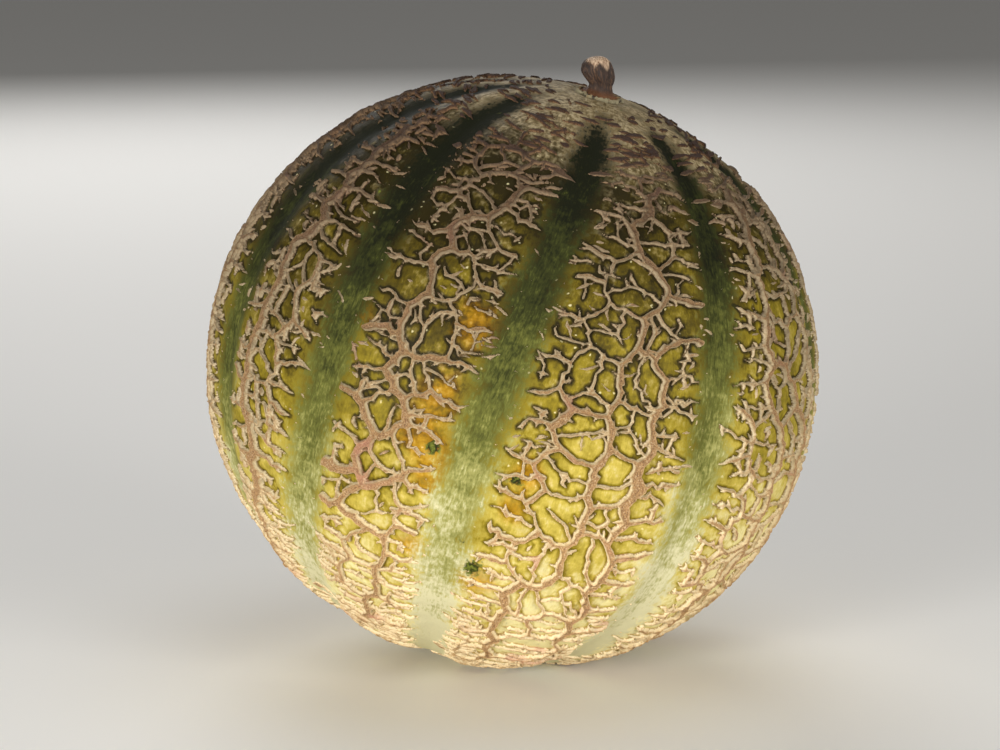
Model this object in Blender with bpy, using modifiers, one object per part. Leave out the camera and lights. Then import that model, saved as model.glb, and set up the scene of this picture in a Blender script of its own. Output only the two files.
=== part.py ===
"""A netted melon with ten ribs, resting on a small flat spot, and the dry stub of its stem.

Lengths are metres. The fruit is an oblate body. Its own axis runs from the blossom scar to the stem
and leans, as the fruit lies. Longitude 0 faces the front (-Y) and grows to the right (+X).
"""

import heapq
import math

import bmesh
import bpy
import numpy as np
from mathutils import Euler, Vector, noise

# Size and lie of the fruit
EQUATOR_RADIUS = 0.074
POLE_RADIUS = 0.0716
LEAN_FORWARD = math.radians(5.4)
LEAN_SIDE = math.radians(16.5)
SPIN = math.radians(-2.9)
REST_FLAT_DEPTH = 0.0009

# Furrows: longitude at the equator, then lean and bow 60 degrees up, in degrees
FURROWS = (
    (-64.0, -4.0, -5.0),
    (-33.5, -1.0, -9.0),
    (-2.5, 2.0, 4.5),
    (40.5, -1.0, 6.0),
    (84.0, 2.0, 3.0),
    (119.0, -2.0, -3.0),
    (155.0, 3.0, 4.0),
    (190.0, -3.0, -4.0),
    (225.0, 2.0, -3.0),
    (261.0, -2.0, 2.0),
)
FURROW_REACH = math.radians(76.0)
FURROW_HALF_WIDTH = 0.0050
FURROW_DEPTH = 0.0011
RIB_RISE = 0.0005
RELIEF_FADE = (math.radians(62.0), math.radians(82.0))

# Cells of the net: rows beside the furrows, and taller cells mid-rib
SEED = 41
FURROW_PITCH = 0.0098
MARGIN_PITCH = 0.0089
MARGIN_OFFSET = 0.0100
MARGIN_TAPER = 0.55
MARGIN_LEAST_GAP = 0.0050
INNER_PITCH = 0.0115
RIB_REACH = math.radians(77.0)
MARGIN_JITTER = 0.0013
INNER_JITTER = 0.0022
POLE_RING_RADIUS = 0.0090
POLE_RING_COUNT = 10

# Cork ridges of the net
RIDGE_HEIGHT = 0.0013
RIDGE_HALF_WIDTH = 0.00125
TRUNK_HEIGHT = 0.0016
TRUNK_HALF_WIDTH = 0.0020
RIDGE_VARIATION = 0.4
RIDGE_VARIATION_SCALE = 23.0
FOOT_SPREAD = 1.15
FOOT_LARGEST_SHARE = 0.42
RUNG_END_SHARE = 0.72
BARE_HEIGHT = 0.0001
BARE_HALF_WIDTH = 0.0007
POLE_HEIGHT_SHARE = 0.45
NET_FADE = (math.radians(50.0), math.radians(76.0))
PILLOW_RISE = 0.0004
FLOOR_DROP = 0.0001

# Trunks of the net: routes as (latitude, longitude) in degrees, top to bottom
TRUNKS = (
    ((57, 29), (45, 21), (37, 24), (26, 23), (17, 16), (10, 19), (-11, 19), (-20, 16), (-27, 13), (-52, 15)),
    ((26, 23), (15, 27), (0, 25), (-19, 25), (-38, 28)),
    ((17, 16), (7, 8)),
    ((34, 36), (27, 31), (19, 31), (16, 35)),
    ((50, -12), (37, -19), (27, -18), (12, -19), (0, -17), (-5, -20), (-14, -20)),
    ((14, -28), (3, -24), (-10, -26), (-20, -29)),
    ((12, -19), (13, -8)),
    ((-9, -20), (-10, -9)),
    ((-14, -20), (-24, -14), (-33, -16), (-52, -20)),
    ((50, -56), (24, -53), (8, -52), (-6, -53), (-24, -47), (-48, -52)),
    ((58, 64), (43, 57), (30, 57), (8, 60), (-11, 61), (-30, 57), (-50, 62)),
    ((28, 57), (10, 69), (-12, 72), (-28, 68)),
)
PLANNED_RIBS = 4
TRUNK_REACH = 54.0
TRUNK_STEP = 13.5
TRUNK_SWAY = 5.0
FORK_SPREAD = 9.0
TRUNK_NEARNESS = 0.002
TRUNK_PULL = 0.6
TRUNK_PULL_LIMIT = 0.0025

# Stem stub: its outline from the cut top down, as (radius, height) above its seat
STUB_PROFILE = (
    (0.0, 0.0094),
    (0.0021, 0.0092),
    (0.0033, 0.0084),
    (0.0037, 0.0072),
    (0.0034, 0.0060),
    (0.0028, 0.0046),
    (0.0027, 0.0032),
    (0.0030, 0.0020),
    (0.0037, 0.0010),
    (0.0045, 0.0003),
    (0.0045, 0.0),
    (0.0, 0.0),
)
STUB_SIDES = 20
STUB_FLUTES = 5
STUB_FLUTE_DEPTH = 0.11
STUB_BEND = math.radians(24.0)
STUB_GAP = 0.0003
SEAT_DEPTH = 0.0004

# Materials by the faces that wear them; the first three are also the kinds of cell
NET_CELL, FURROW_CELL, SEAT_CELL, RIDGE = range(4)


def smooth_step(value, low, high):
    """Rise from 0 at low to 1 at high with level ends."""
    share = min(max((value - low) / (high - low), 0.0), 1.0)
    return share * share * (3.0 - 2.0 * share)


def direction(lat, lon):
    """Unit vector of a latitude and longitude in the fruit's own frame."""
    return Vector((math.cos(lat) * math.sin(lon), -math.cos(lat) * math.cos(lon), math.sin(lat)))


def lat_lon(unit):
    """Latitude and longitude of a unit vector."""
    return math.asin(min(max(unit.z, -1.0), 1.0)), math.atan2(unit.x, -unit.y)


def furrow_longitude(index, lat):
    """Longitude of a furrow's centre line at a latitude; the index may run past the last furrow."""
    start, lean, bow = FURROWS[index % len(FURROWS)]
    reach = math.degrees(lat) / 60.0
    turns = 360.0 * (index // len(FURROWS))
    return math.radians(start + turns + lean * reach + bow * reach * reach)


def furrow_place(lat, lon):
    """Distance to the nearest furrow's centre line, and the width of the rib there."""
    best = (math.inf, 1.0)
    girth = EQUATOR_RADIUS * math.cos(lat)
    for index in range(len(FURROWS)):
        here = furrow_longitude(index, lat)
        away = (lon - here + math.pi) % math.tau - math.pi
        following = furrow_longitude(index + (1 if away > 0.0 else -1), lat)
        width = abs((following - here + math.pi) % math.tau - math.pi) * girth
        best = min(best, (abs(away) * girth, width))
    return best


def skin_relief(unit):
    """Height of the bare skin over the plain oblate body: ribs swell and furrows sink."""
    lat, lon = lat_lon(unit)
    away, width = furrow_place(lat, lon)
    fade = 1.0 - smooth_step(abs(lat), *RELIEF_FADE)
    swell = RIB_RISE * math.sin(0.5 * math.pi * min(1.0, 2.0 * away / width))
    sink = FURROW_DEPTH * math.exp(-((away / FURROW_HALF_WIDTH) ** 2))
    return (swell - sink) * fade


def on_fruit(unit, height):
    """Point at a height above the skin, in the fruit's own frame."""
    scale = 1.0 + (skin_relief(unit) + height) / EQUATOR_RADIUS
    return Vector((EQUATOR_RADIUS * unit.x, EQUATOR_RADIUS * unit.y, POLE_RADIUS * unit.z)) * scale


def rows(reach, pitch):
    """Latitudes of evenly spaced rows between -reach and reach."""
    count = round(2.0 * reach * EQUATOR_RADIUS / pitch)
    return [reach * ((2 * row + 1) / count - 1.0) for row in range(count)]


def nudged(lat, lon, amount, rng):
    """Direction moved at random by up to an amount each way along the skin."""
    up, across = rng.uniform(-amount, amount, 2) / EQUATOR_RADIUS
    return direction(lat + up, lon + across / max(math.cos(lat), 0.2))


def margin_inset(lat):
    """Longitude from a furrow's centre line to the middle of the cells beside it."""
    return MARGIN_OFFSET * (1.0 - MARGIN_TAPER * (1.0 - math.cos(lat))) / (EQUATOR_RADIUS * math.cos(lat))


def rib_seeds(index, rng):
    """Cell centres of one rib: two margin rows, and what fits between them."""
    seeds = []
    for lat in rows(RIB_REACH, MARGIN_PITCH):
        left, right = furrow_longitude(index, lat), furrow_longitude(index + 1, lat)
        girth = EQUATOR_RADIUS * math.cos(lat)
        inset = margin_inset(lat)
        if (right - left - 2.0 * inset) * girth > MARGIN_LEAST_GAP:
            seeds.append(nudged(lat, left + inset, MARGIN_JITTER, rng))
            seeds.append(nudged(lat, right - inset, MARGIN_JITTER, rng))
        else:
            seeds.append(nudged(lat, 0.5 * (left + right), MARGIN_JITTER, rng))
    for lat in rows(RIB_REACH, INNER_PITCH):
        left, right = furrow_longitude(index, lat), furrow_longitude(index + 1, lat)
        inset = margin_inset(lat)
        room = right - left - 2.0 * inset
        count = max(0, round(room * EQUATOR_RADIUS * math.cos(lat) / INNER_PITCH) - 1)
        for place in range(count):
            lon = left + inset + room * (place + 1) / (count + 1)
            seeds.append(nudged(lat, lon, INNER_JITTER, rng))
    return [(seed, NET_CELL) for seed in seeds]


def cell_seeds():
    """Centres and kinds of all cells of the skin."""
    rng = np.random.default_rng(SEED)
    seeds = []
    for index in range(len(FURROWS)):
        for lat in rows(FURROW_REACH, FURROW_PITCH):
            seeds.append((direction(lat, furrow_longitude(index, lat)), FURROW_CELL))
        seeds += rib_seeds(index, rng)
    ring = 0.5 * math.pi - POLE_RING_RADIUS / EQUATOR_RADIUS
    for end in (1.0, -1.0):
        seeds.append((direction(end * 0.5 * math.pi, 0.0), SEAT_CELL))
        for place in range(POLE_RING_COUNT):
            lon = math.tau * (place + 0.5) / POLE_RING_COUNT
            seeds.append((direction(end * ring, lon), NET_CELL))
    return seeds


def cell_mesh():
    """Unit sphere divided into cells round the seeds; each corner counts the furrow cells beside it."""
    seeds = cell_seeds()
    hull = bmesh.new()
    kind = hull.verts.layers.int.new("kind")
    for place, seed_kind in seeds:
        hull.verts.new(place)[kind] = seed_kind
    bmesh.ops.convex_hull(hull, input=hull.verts)
    hull.normal_update()

    cells = bmesh.new()
    cells.verts.layers.float.new("height")
    beside = cells.verts.layers.int.new("furrows_beside")
    faces = sorted(hull.faces, key=lambda face: tuple(round(v, 7) for v in face.calc_center_median()))
    corner = {}
    for face in faces:
        vert = cells.verts.new(face.calc_center_median().normalized())
        vert[beside] = sum(v[kind] == FURROW_CELL for v in face.verts)
        corner[face] = vert
    for vert in hull.verts:
        loop = vert.link_loops[0]
        ring = []
        for _ in vert.link_loops:
            ring.append(corner[loop.face])
            loop = loop.link_loop_prev.link_loop_radial_next
        cell = cells.faces.new(ring)
        cell.material_index = vert[kind]
    hull.free()
    bmesh.ops.recalc_face_normals(cells, faces=cells.faces)
    return cells


def planned_trunks():
    """Routes of the trunks: those planned, and seeded ones with a fork on the other ribs."""
    rng = np.random.default_rng(SEED + 1)
    routes = [[(math.radians(lat), math.radians(lon)) for lat, lon in route] for route in TRUNKS]
    for index in range(PLANNED_RIBS, len(FURROWS)):
        route = []
        for lat in np.radians(np.arange(TRUNK_REACH, -TRUNK_REACH - 1.0, -TRUNK_STEP)):
            middle = 0.5 * (furrow_longitude(index, lat) + furrow_longitude(index + 1, lat))
            route.append((lat, middle + math.radians(rng.uniform(-TRUNK_SWAY, TRUNK_SWAY))))
        routes.append(route)
        fork = int(rng.integers(2, 5))
        side = math.radians(FORK_SPREAD) * rng.choice((-1.0, 1.0))
        branch = [route[fork]]
        for step in (1, 2, 3):
            lat, lon = route[fork + step]
            branch.append((lat, lon + side * min(1.0, step / 2.0)))
        routes.append(branch)
    return routes


def dense_route(route):
    """Points of a route on the unit sphere, close enough together to measure distances to."""
    points = []
    for (lat_a, lon_a), (lat_b, lon_b) in zip(route, route[1:]):
        for step in np.linspace(0.0, 1.0, 12):
            points.append(direction(lat_a + (lat_b - lat_a) * step, lon_a + (lon_b - lon_a) * step))
    return points


def walk(start, end, route):
    """Cheapest way along cell borders from one corner to another, keeping near a route."""
    queue = [(0.0, start.index, start, None)]
    came_from = {}
    while queue:
        cost, _, vert, before = heapq.heappop(queue)
        if vert in came_from:
            continue
        came_from[vert] = before
        if vert == end:
            break
        for edge in vert.link_edges:
            other = edge.other_vert(vert)
            middle = 0.5 * (vert.co + other.co)
            off = min((middle - point).length for point in route) * EQUATOR_RADIUS / TRUNK_NEARNESS
            step = edge.calc_length() * (1.0 + off * off)
            if other not in came_from:
                heapq.heappush(queue, (cost + step, other.index, other, vert))
    path = [end]
    while came_from[path[-1]] is not None:
        path.append(came_from[path[-1]])
    return path


def lay_trunks(cells):
    """Find the trunks' corners, and draw them a little towards their routes."""
    beside = cells.verts.layers.int["furrows_beside"]
    cells.verts.index_update()
    trunk = set()
    for route in planned_trunks():
        points = dense_route(route)
        free = [vert for vert in cells.verts if not vert[beside]]
        start = min(free, key=lambda vert: (vert.co - points[0]).length)
        end = min(free, key=lambda vert: (vert.co - points[-1]).length)
        for vert in walk(start, end, points):
            if vert[beside] or vert in trunk:
                continue
            trunk.add(vert)
            nearest = min(points, key=lambda point: (vert.co - point).length)
            pull = (nearest - vert.co) * TRUNK_PULL
            limit = TRUNK_PULL_LIMIT / EQUATOR_RADIUS
            if pull.length > limit:
                pull *= limit / pull.length
            vert.co = (vert.co + pull).normalized()
    return trunk


def ridge_at(vert, beside, trunk):
    """Height and half width of the cork ridge at a corner of the net."""
    if vert[beside] > 1:
        return BARE_HEIGHT, BARE_HALF_WIDTH
    lat, _ = lat_lon(vert.co)
    fade = 1.0 - (1.0 - POLE_HEIGHT_SHARE) * smooth_step(abs(lat), *NET_FADE)
    if vert in trunk:
        return TRUNK_HEIGHT * fade, TRUNK_HALF_WIDTH * fade
    fade *= 1.0 + RIDGE_VARIATION * noise.noise(vert.co * RIDGE_VARIATION_SCALE)
    if vert[beside]:
        return RIDGE_HEIGHT * RUNG_END_SHARE * fade, RIDGE_HALF_WIDTH * RUNG_END_SHARE
    return RIDGE_HEIGHT * fade, RIDGE_HALF_WIDTH


def fruit_mesh():
    """Whole fruit: ribs, furrows, net and the pillowed skin inside its cells."""
    cells = cell_mesh()
    trunk = lay_trunks(cells)
    beside = cells.verts.layers.int["furrows_beside"]
    ridge = {vert: ridge_at(vert, beside, trunk) for vert in cells.verts}
    furrow_cells = [cell for cell in cells.faces if cell.material_index == FURROW_CELL]
    framed = [cell for cell in cells.faces if cell.material_index != FURROW_CELL]
    middle = {cell: cell.calc_center_median() for cell in framed}

    flanks = bmesh.ops.inset_individual(cells, faces=framed, thickness=0.0)["faces"]
    height = cells.verts.layers.float["height"]
    for vert, (rise, _) in ridge.items():
        vert[height] = rise
    for cell in framed:
        for vert in cell.verts:
            outer = next(e.other_vert(vert) for e in vert.link_edges if e.other_vert(vert) in ridge)
            reach = middle[cell] - outer.co
            foot = FOOT_SPREAD * ridge[outer][1] / (reach.length * EQUATOR_RADIUS)
            vert.co = outer.co + reach * min(foot, FOOT_LARGEST_SHARE)
            vert[height] = -SEAT_DEPTH if cell.material_index == SEAT_CELL else -FLOOR_DROP
    for flank in flanks:
        flank.material_index = RIDGE

    in_furrow = set(furrow_cells)
    across = [edge for edge in cells.edges if all(face in in_furrow for face in edge.link_faces)]
    bmesh.ops.bisect_edges(cells, edges=across, cuts=1)
    skin = [cell for cell in framed if cell.material_index == NET_CELL]
    for poked, rise in ((skin, PILLOW_RISE), (furrow_cells, 0.0)):
        for vert in bmesh.ops.poke(cells, faces=poked)["verts"]:
            vert[height] = rise
    for vert in cells.verts:
        vert.co = on_fruit(vert.co.normalized(), vert[height])
    bmesh.ops.triangulate(cells, faces=cells.faces)
    cells.normal_update()
    mesh = bpy.data.meshes.new("melon_fruit")
    cells.to_mesh(mesh)
    cells.free()
    return mesh


def stub_mesh():
    """Stem stub turned from its profile, then fluted, and bent back upright."""
    profile = bpy.data.meshes.new("stub_profile")
    points = [(radius, 0.0, height) for radius, height in STUB_PROFILE]
    profile.from_pydata(points, [(i, i + 1) for i in range(len(points) - 1)], [])
    turned = bpy.data.objects.new("stub_profile", profile)
    bpy.context.scene.collection.objects.link(turned)
    screw = turned.modifiers.new("turn", "SCREW")
    screw.steps = STUB_SIDES
    screw.render_steps = STUB_SIDES
    screw.use_merge_vertices = True
    screw.merge_threshold = 0.00001
    mesh = bpy.data.meshes.new_from_object(turned.evaluated_get(bpy.context.evaluated_depsgraph_get()))
    bpy.data.objects.remove(turned)
    bpy.data.meshes.remove(profile)
    mesh.name = "stem_stub"
    tall = STUB_PROFILE[0][1]
    for vert in mesh.vertices:
        x, y, z = vert.co
        flute = 1.0 + STUB_FLUTE_DEPTH * math.cos(STUB_FLUTES * math.atan2(y, x)) * math.sin(math.pi * z / tall)
        angle = STUB_BEND * z / tall
        radius = tall / STUB_BEND
        bent_x = x * flute * math.cos(angle) - radius * (1.0 - math.cos(angle))
        bent_z = x * flute * math.sin(angle) + radius * math.sin(angle)
        vert.co = (bent_x, y * flute, bent_z)
    return mesh


def finish(name, colour, roughness):
    """Principled material of one plain colour."""
    material = bpy.data.materials.new(name)
    material.use_nodes = True
    shader = material.node_tree.nodes["Principled BSDF"]
    shader.inputs["Base Color"].default_value = (*colour, 1.0)
    shader.inputs["Roughness"].default_value = roughness
    shader.inputs["Metallic"].default_value = 0.0
    return material


def centre_height():
    """Height of the fruit's centre when it lies on its flat spot."""
    axis = Euler((LEAN_FORWARD, LEAN_SIDE, 0.0), "XYZ").to_matrix().col[2]
    across = EQUATOR_RADIUS ** 2 * (1.0 - axis.z ** 2)
    return math.sqrt(across + (POLE_RADIUS * axis.z) ** 2) - REST_FLAT_DEPTH


def place(name, mesh, collection, parent, height):
    """Put a piece on the fruit's axis at a height from its centre."""
    piece = bpy.data.objects.new(name, mesh)
    collection.objects.link(piece)
    piece.parent = parent
    piece.location = (0.0, 0.0, height)
    return piece


def build():
    """Make the melon, its stem stub, and the block that levels its resting spot."""
    for old in list(bpy.data.objects):
        bpy.data.objects.remove(old)
    melon = bpy.data.collections.new("melon")
    cutters = bpy.data.collections.new("cutters")
    bpy.context.scene.collection.children.link(melon)
    bpy.context.scene.collection.children.link(cutters)

    axis = bpy.data.objects.new("melon_axis", None)
    melon.objects.link(axis)
    axis.location = (0.0, 0.0, centre_height())
    axis.rotation_euler = (LEAN_FORWARD, LEAN_SIDE, 0.0)

    fruit = place("melon_fruit", fruit_mesh(), melon, axis, 0.0)
    fruit.rotation_euler = (0.0, 0.0, SPIN)
    fruit.data.materials.append(finish("melon_skin", (0.52, 0.47, 0.11), 0.5))
    fruit.data.materials.append(finish("furrow_skin", (0.13, 0.21, 0.08), 0.7))
    fruit.data.materials.append(finish("stem_seat", (0.33, 0.22, 0.11), 0.8))
    fruit.data.materials.append(finish("cork_net", (0.55, 0.42, 0.27), 0.85))

    stub = place("stem_stub", stub_mesh(), melon, axis, POLE_RADIUS - SEAT_DEPTH + STUB_GAP)
    stub.data.materials.append(finish("dry_stem", (0.12, 0.08, 0.05), 0.75))
    stub.data.shade_smooth()
    stub.data.set_sharp_from_angle(angle=math.radians(50.0))

    floor_size = 4.0 * EQUATOR_RADIUS
    bpy.ops.mesh.primitive_cube_add(size=floor_size, location=(0.0, 0.0, -0.5 * floor_size))
    level = bpy.context.active_object
    level.name = "rest_level"
    for owner in list(level.users_collection):
        owner.objects.unlink(level)
    cutters.objects.link(level)
    level.hide_render = True
    level.display_type = "WIRE"
    cut = fruit.modifiers.new("rest_flat", "BOOLEAN")
    cut.operation = "DIFFERENCE"
    cut.object = level


build()
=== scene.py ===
"""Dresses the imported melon: waxy rind, raised cork net, dusty furrows and a dry stem stub.

The rind is one closed skin. The net is one sheet of cork ridges for each rib, grown from the same
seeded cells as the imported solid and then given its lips, grooves, side spurs and loose dashes.
Lengths are metres unless a name ends in _mm. A rib's flat layout is in millimetres: x runs across
the rib from its middle, and y runs along it from the equator.
"""

import heapq
import logging
import math
from dataclasses import dataclass, field
from enum import Enum

import bmesh
import bpy
import numpy as np
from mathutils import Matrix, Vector


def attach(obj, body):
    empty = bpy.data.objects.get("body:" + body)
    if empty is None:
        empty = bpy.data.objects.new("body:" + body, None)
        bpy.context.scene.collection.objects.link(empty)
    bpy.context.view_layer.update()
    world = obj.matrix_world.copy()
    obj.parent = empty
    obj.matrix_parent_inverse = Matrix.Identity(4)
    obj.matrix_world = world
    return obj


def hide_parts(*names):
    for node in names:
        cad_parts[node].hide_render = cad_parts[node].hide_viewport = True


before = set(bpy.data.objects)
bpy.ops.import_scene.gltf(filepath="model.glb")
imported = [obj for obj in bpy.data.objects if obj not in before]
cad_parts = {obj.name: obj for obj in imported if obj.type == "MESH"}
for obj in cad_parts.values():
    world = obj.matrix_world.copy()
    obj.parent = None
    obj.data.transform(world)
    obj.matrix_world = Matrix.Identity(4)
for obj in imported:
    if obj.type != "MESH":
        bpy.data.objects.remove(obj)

LOG = logging.getLogger("melon")
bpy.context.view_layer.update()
MM = 0.001

# Large odd factors that scatter the knots of the noise
KNOT_SEED = 668265263
KNOT_AXES = (374761393, 1274126177, 2246822519)
KNOT_MIX = 1103515245

# The skin's and the cork's colours darken from near the table to near the top, partly the fruit's own tone
# and partly painted shade, heights in metres
TONE_AND_SHADE_HEIGHTS = {"From Min": 0.135, "From Max": 0.008}

# Sockets of a Mix node that blends colours: the share, the colour below and the colour above
SHARE, BELOW, ABOVE = 0, 6, 7
BLEND = {"out": 2, "data_type": "RGBA"}

BUMP_DEPTH = 0.0004

Range = tuple[float, float]
Stops = tuple[tuple[float, str], ...]
Socket = bpy.types.NodeSocket
Tree = bpy.types.NodeTree


class CellKind(Enum):
    """What a cell of the rind's plan is: net, furrow floor, or the seat at either pole."""

    NET = 0
    FURROW = 1
    SEAT = 2


@dataclass(frozen=True)
class Furrow:
    """Line of one furrow in degrees: longitude at the equator, lean and bow 60 degrees up."""

    start: float
    lean: float
    bow: float

    def longitude(self, lat: np.ndarray, turns: int) -> np.ndarray:
        """Longitude of the line in radians.

        Args:
            lat: Latitudes in radians.
            turns: Whole turns to add, so that ribs can be counted past the last furrow.

        Returns:
            Longitudes in radians.
        """
        reach = np.degrees(lat) / 60.0
        return np.radians(self.start + 360.0 * turns + self.lean * reach + self.bow * reach * reach)


FURROWS = (
    Furrow(-64.0, -4.0, -5.0),
    Furrow(-33.5, -1.0, -9.0),
    Furrow(-2.5, 2.0, 4.5),
    Furrow(40.5, -1.0, 6.0),
    Furrow(84.0, 2.0, 3.0),
    Furrow(119.0, -2.0, -3.0),
    Furrow(155.0, 3.0, 4.0),
    Furrow(190.0, -3.0, -4.0),
    Furrow(225.0, 2.0, -3.0),
    Furrow(261.0, -2.0, 2.0),
)

# Trunks of the net on the ribs the photograph shows: (latitude, longitude) in degrees, top to bottom
TRUNKS = (
    ((57, 29), (45, 21), (37, 24), (26, 23), (17, 16), (10, 19), (-11, 19), (-20, 16), (-27, 13), (-52, 15)),
    ((26, 23), (15, 27), (0, 25), (-19, 25), (-38, 28)),
    ((17, 16), (7, 8)),
    ((34, 36), (27, 31), (19, 31), (16, 35)),
    ((50, -12), (37, -19), (27, -18), (12, -19), (0, -17), (-5, -20), (-14, -20)),
    ((14, -28), (3, -24), (-10, -26), (-20, -29)),
    ((12, -19), (13, -8)),
    ((-9, -20), (-10, -9)),
    ((-14, -20), (-24, -14), (-33, -16), (-52, -20)),
    ((50, -56), (24, -53), (8, -52), (-6, -53), (-24, -47), (-48, -52)),
    ((58, 64), (43, 57), (30, 57), (8, 60), (-11, 61), (-30, 57), (-50, 62)),
    ((28, 57), (10, 69), (-12, 72), (-28, 68)),
)


def smooth_step(value: np.ndarray, low: float, high: float) -> np.ndarray:
    """Rise from 0 at low to 1 at high with level ends.

    Args:
        value: Where to read the step.
        low: Value at which the rise starts.
        high: Value at which the rise ends.

    Returns:
        Share of the rise at each value.
    """
    share = np.clip((np.asarray(value, float) - low) / (high - low), 0.0, 1.0)
    return share * share * (3.0 - 2.0 * share)


def grain(places: np.ndarray, size: float, seed: int) -> np.ndarray:
    """Smooth seeded value noise.

    Args:
        places: Points, one row each, with two or three columns.
        size: Distance between the noise's knots, in the points' unit.
        seed: Picks one noise field.

    Returns:
        Noise between -1 and 1 at each point.
    """
    scaled = np.asarray(places, float) / size
    knot = np.floor(scaled).astype(np.int64)
    share = scaled - knot
    share = share * share * (3.0 - 2.0 * share)
    total = np.zeros(len(scaled))
    for corner in np.ndindex(*(2,) * scaled.shape[1]):
        mixed = np.full(len(scaled), seed * KNOT_SEED, np.int64)
        weight = np.ones(len(scaled))
        for axis, step in enumerate(corner):
            mixed = (mixed ^ (knot[:, axis] + step) * KNOT_AXES[axis]) * KNOT_MIX
            mixed ^= mixed >> 17
            weight *= share[:, axis] if step else 1.0 - share[:, axis]
        total += weight * ((mixed & 0xFFFF) / 32767.5 - 1.0)
    return total


@dataclass(frozen=True)
class FruitForm:
    """Shape of the bare fruit: an oblate body that leans, with ribs and furrows."""

    equator_radius: float = 0.074
    pole_radius: float = 0.0716
    lean_forward: float = math.radians(5.4)
    lean_side: float = math.radians(16.5)
    spin: float = math.radians(-2.9)
    rest_flat_depth: float = 0.0009
    furrow_half_width: float = 0.0050
    furrow_depth: float = 0.0011
    rib_rise: float = 0.0005
    relief_fade: Range = (math.radians(62.0), math.radians(82.0))
    furrows: tuple[Furrow, ...] = FURROWS

    def furrow_lon(self, index: int, lat: np.ndarray) -> np.ndarray:
        """Longitude of a furrow's line; the index may run past either end.

        Args:
            index: Which furrow, counted round the fruit.
            lat: Latitudes in radians.

        Returns:
            Longitudes in radians.
        """
        turns, which = divmod(index, len(self.furrows))
        return self.furrows[which].longitude(lat, turns)

    def nearest_furrow(self, lat: np.ndarray, lon: np.ndarray) -> tuple[np.ndarray, np.ndarray]:
        """Distance to the nearest furrow's line, and the width of the rib there.

        Args:
            lat: Latitudes in radians.
            lon: Longitudes in radians.

        Returns:
            Distances, negative on a furrow's left, and rib widths, both in metres.
        """
        girth = self.equator_radius * np.cos(lat)
        best = np.full(np.shape(lat), np.inf)
        width = np.ones(np.shape(lat))
        for index in range(len(self.furrows)):
            here = self.furrow_lon(index, lat)
            away = (lon - here + np.pi) % math.tau - np.pi
            after = self.furrow_lon(index + 1, lat)
            before = self.furrow_lon(index - 1, lat)
            rib = np.abs((np.where(away > 0.0, after, before) - here + np.pi) % math.tau - np.pi)
            near = np.abs(away * girth) < np.abs(best)
            best = np.where(near, away * girth, best)
            width = np.where(near, rib * girth, width)
        return best, width

    def relief(self, lat: np.ndarray, lon: np.ndarray) -> np.ndarray:
        """Height of the bare skin over the plain oblate body.

        Args:
            lat: Latitudes in radians.
            lon: Longitudes in radians.

        Returns:
            Heights in metres.
        """
        away, width = self.nearest_furrow(lat, lon)
        away = np.abs(away)
        fade = 1.0 - smooth_step(np.abs(lat), *self.relief_fade)
        swell = self.rib_rise * np.sin(0.5 * np.pi * np.minimum(1.0, 2.0 * away / width))
        sink = self.furrow_depth * np.exp(-((away / self.furrow_half_width) ** 2))
        return (swell - sink) * fade

    def turn(self) -> np.ndarray:
        """Rotation from the fruit's own frame to the frame it lies in."""
        ca, sa = math.cos(self.lean_forward), math.sin(self.lean_forward)
        cb, sb = math.cos(self.lean_side), math.sin(self.lean_side)
        cg, sg = math.cos(self.spin), math.sin(self.spin)
        forward = np.array(((1.0, 0.0, 0.0), (0.0, ca, -sa), (0.0, sa, ca)))
        side = np.array(((cb, 0.0, sb), (0.0, 1.0, 0.0), (-sb, 0.0, cb)))
        about = np.array(((cg, -sg, 0.0), (sg, cg, 0.0), (0.0, 0.0, 1.0)))
        return side @ forward @ about

    def centre(self) -> np.ndarray:
        """Centre of the fruit when it lies on its flat spot."""
        axis_z = self.turn()[2, 2]
        across = self.equator_radius ** 2 * (1.0 - axis_z ** 2)
        height = math.sqrt(across + (self.pole_radius * axis_z) ** 2) - self.rest_flat_depth
        return np.array((0.0, 0.0, height))

    def place(self, lat: np.ndarray, lon: np.ndarray, height: np.ndarray) -> np.ndarray:
        """Points above the skin, where the fruit lies.

        Args:
            lat: Latitudes in radians.
            lon: Longitudes in radians.
            height: Heights over the skin in metres.

        Returns:
            One point in each row, in metres.
        """
        unit = np.stack((np.cos(lat) * np.sin(lon), -np.cos(lat) * np.cos(lon), np.sin(lat)), axis=-1)
        scale = 1.0 + (self.relief(lat, lon) + height) / self.equator_radius
        body = unit * (self.equator_radius, self.equator_radius, self.pole_radius) * scale[..., None]
        return body @ self.turn().T + self.centre()

    def along_axis(self, local: np.ndarray) -> np.ndarray:
        """Points given beside the fruit's axis, moved to where the fruit lies.

        Args:
            local: Points in the axis's own frame, without the fruit's spin.

        Returns:
            The same points in the frame the fruit lies in.
        """
        cg, sg = math.cos(-self.spin), math.sin(-self.spin)
        unspun = np.array(((cg, -sg, 0.0), (sg, cg, 0.0), (0.0, 0.0, 1.0)))
        return local @ (self.turn() @ unspun).T + self.centre()


def direction(lat: float, lon: float) -> Vector:
    """Unit vector of a latitude and longitude in the fruit's own frame."""
    return Vector((math.cos(lat) * math.sin(lon), -math.cos(lat) * math.cos(lon), math.sin(lat)))


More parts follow.
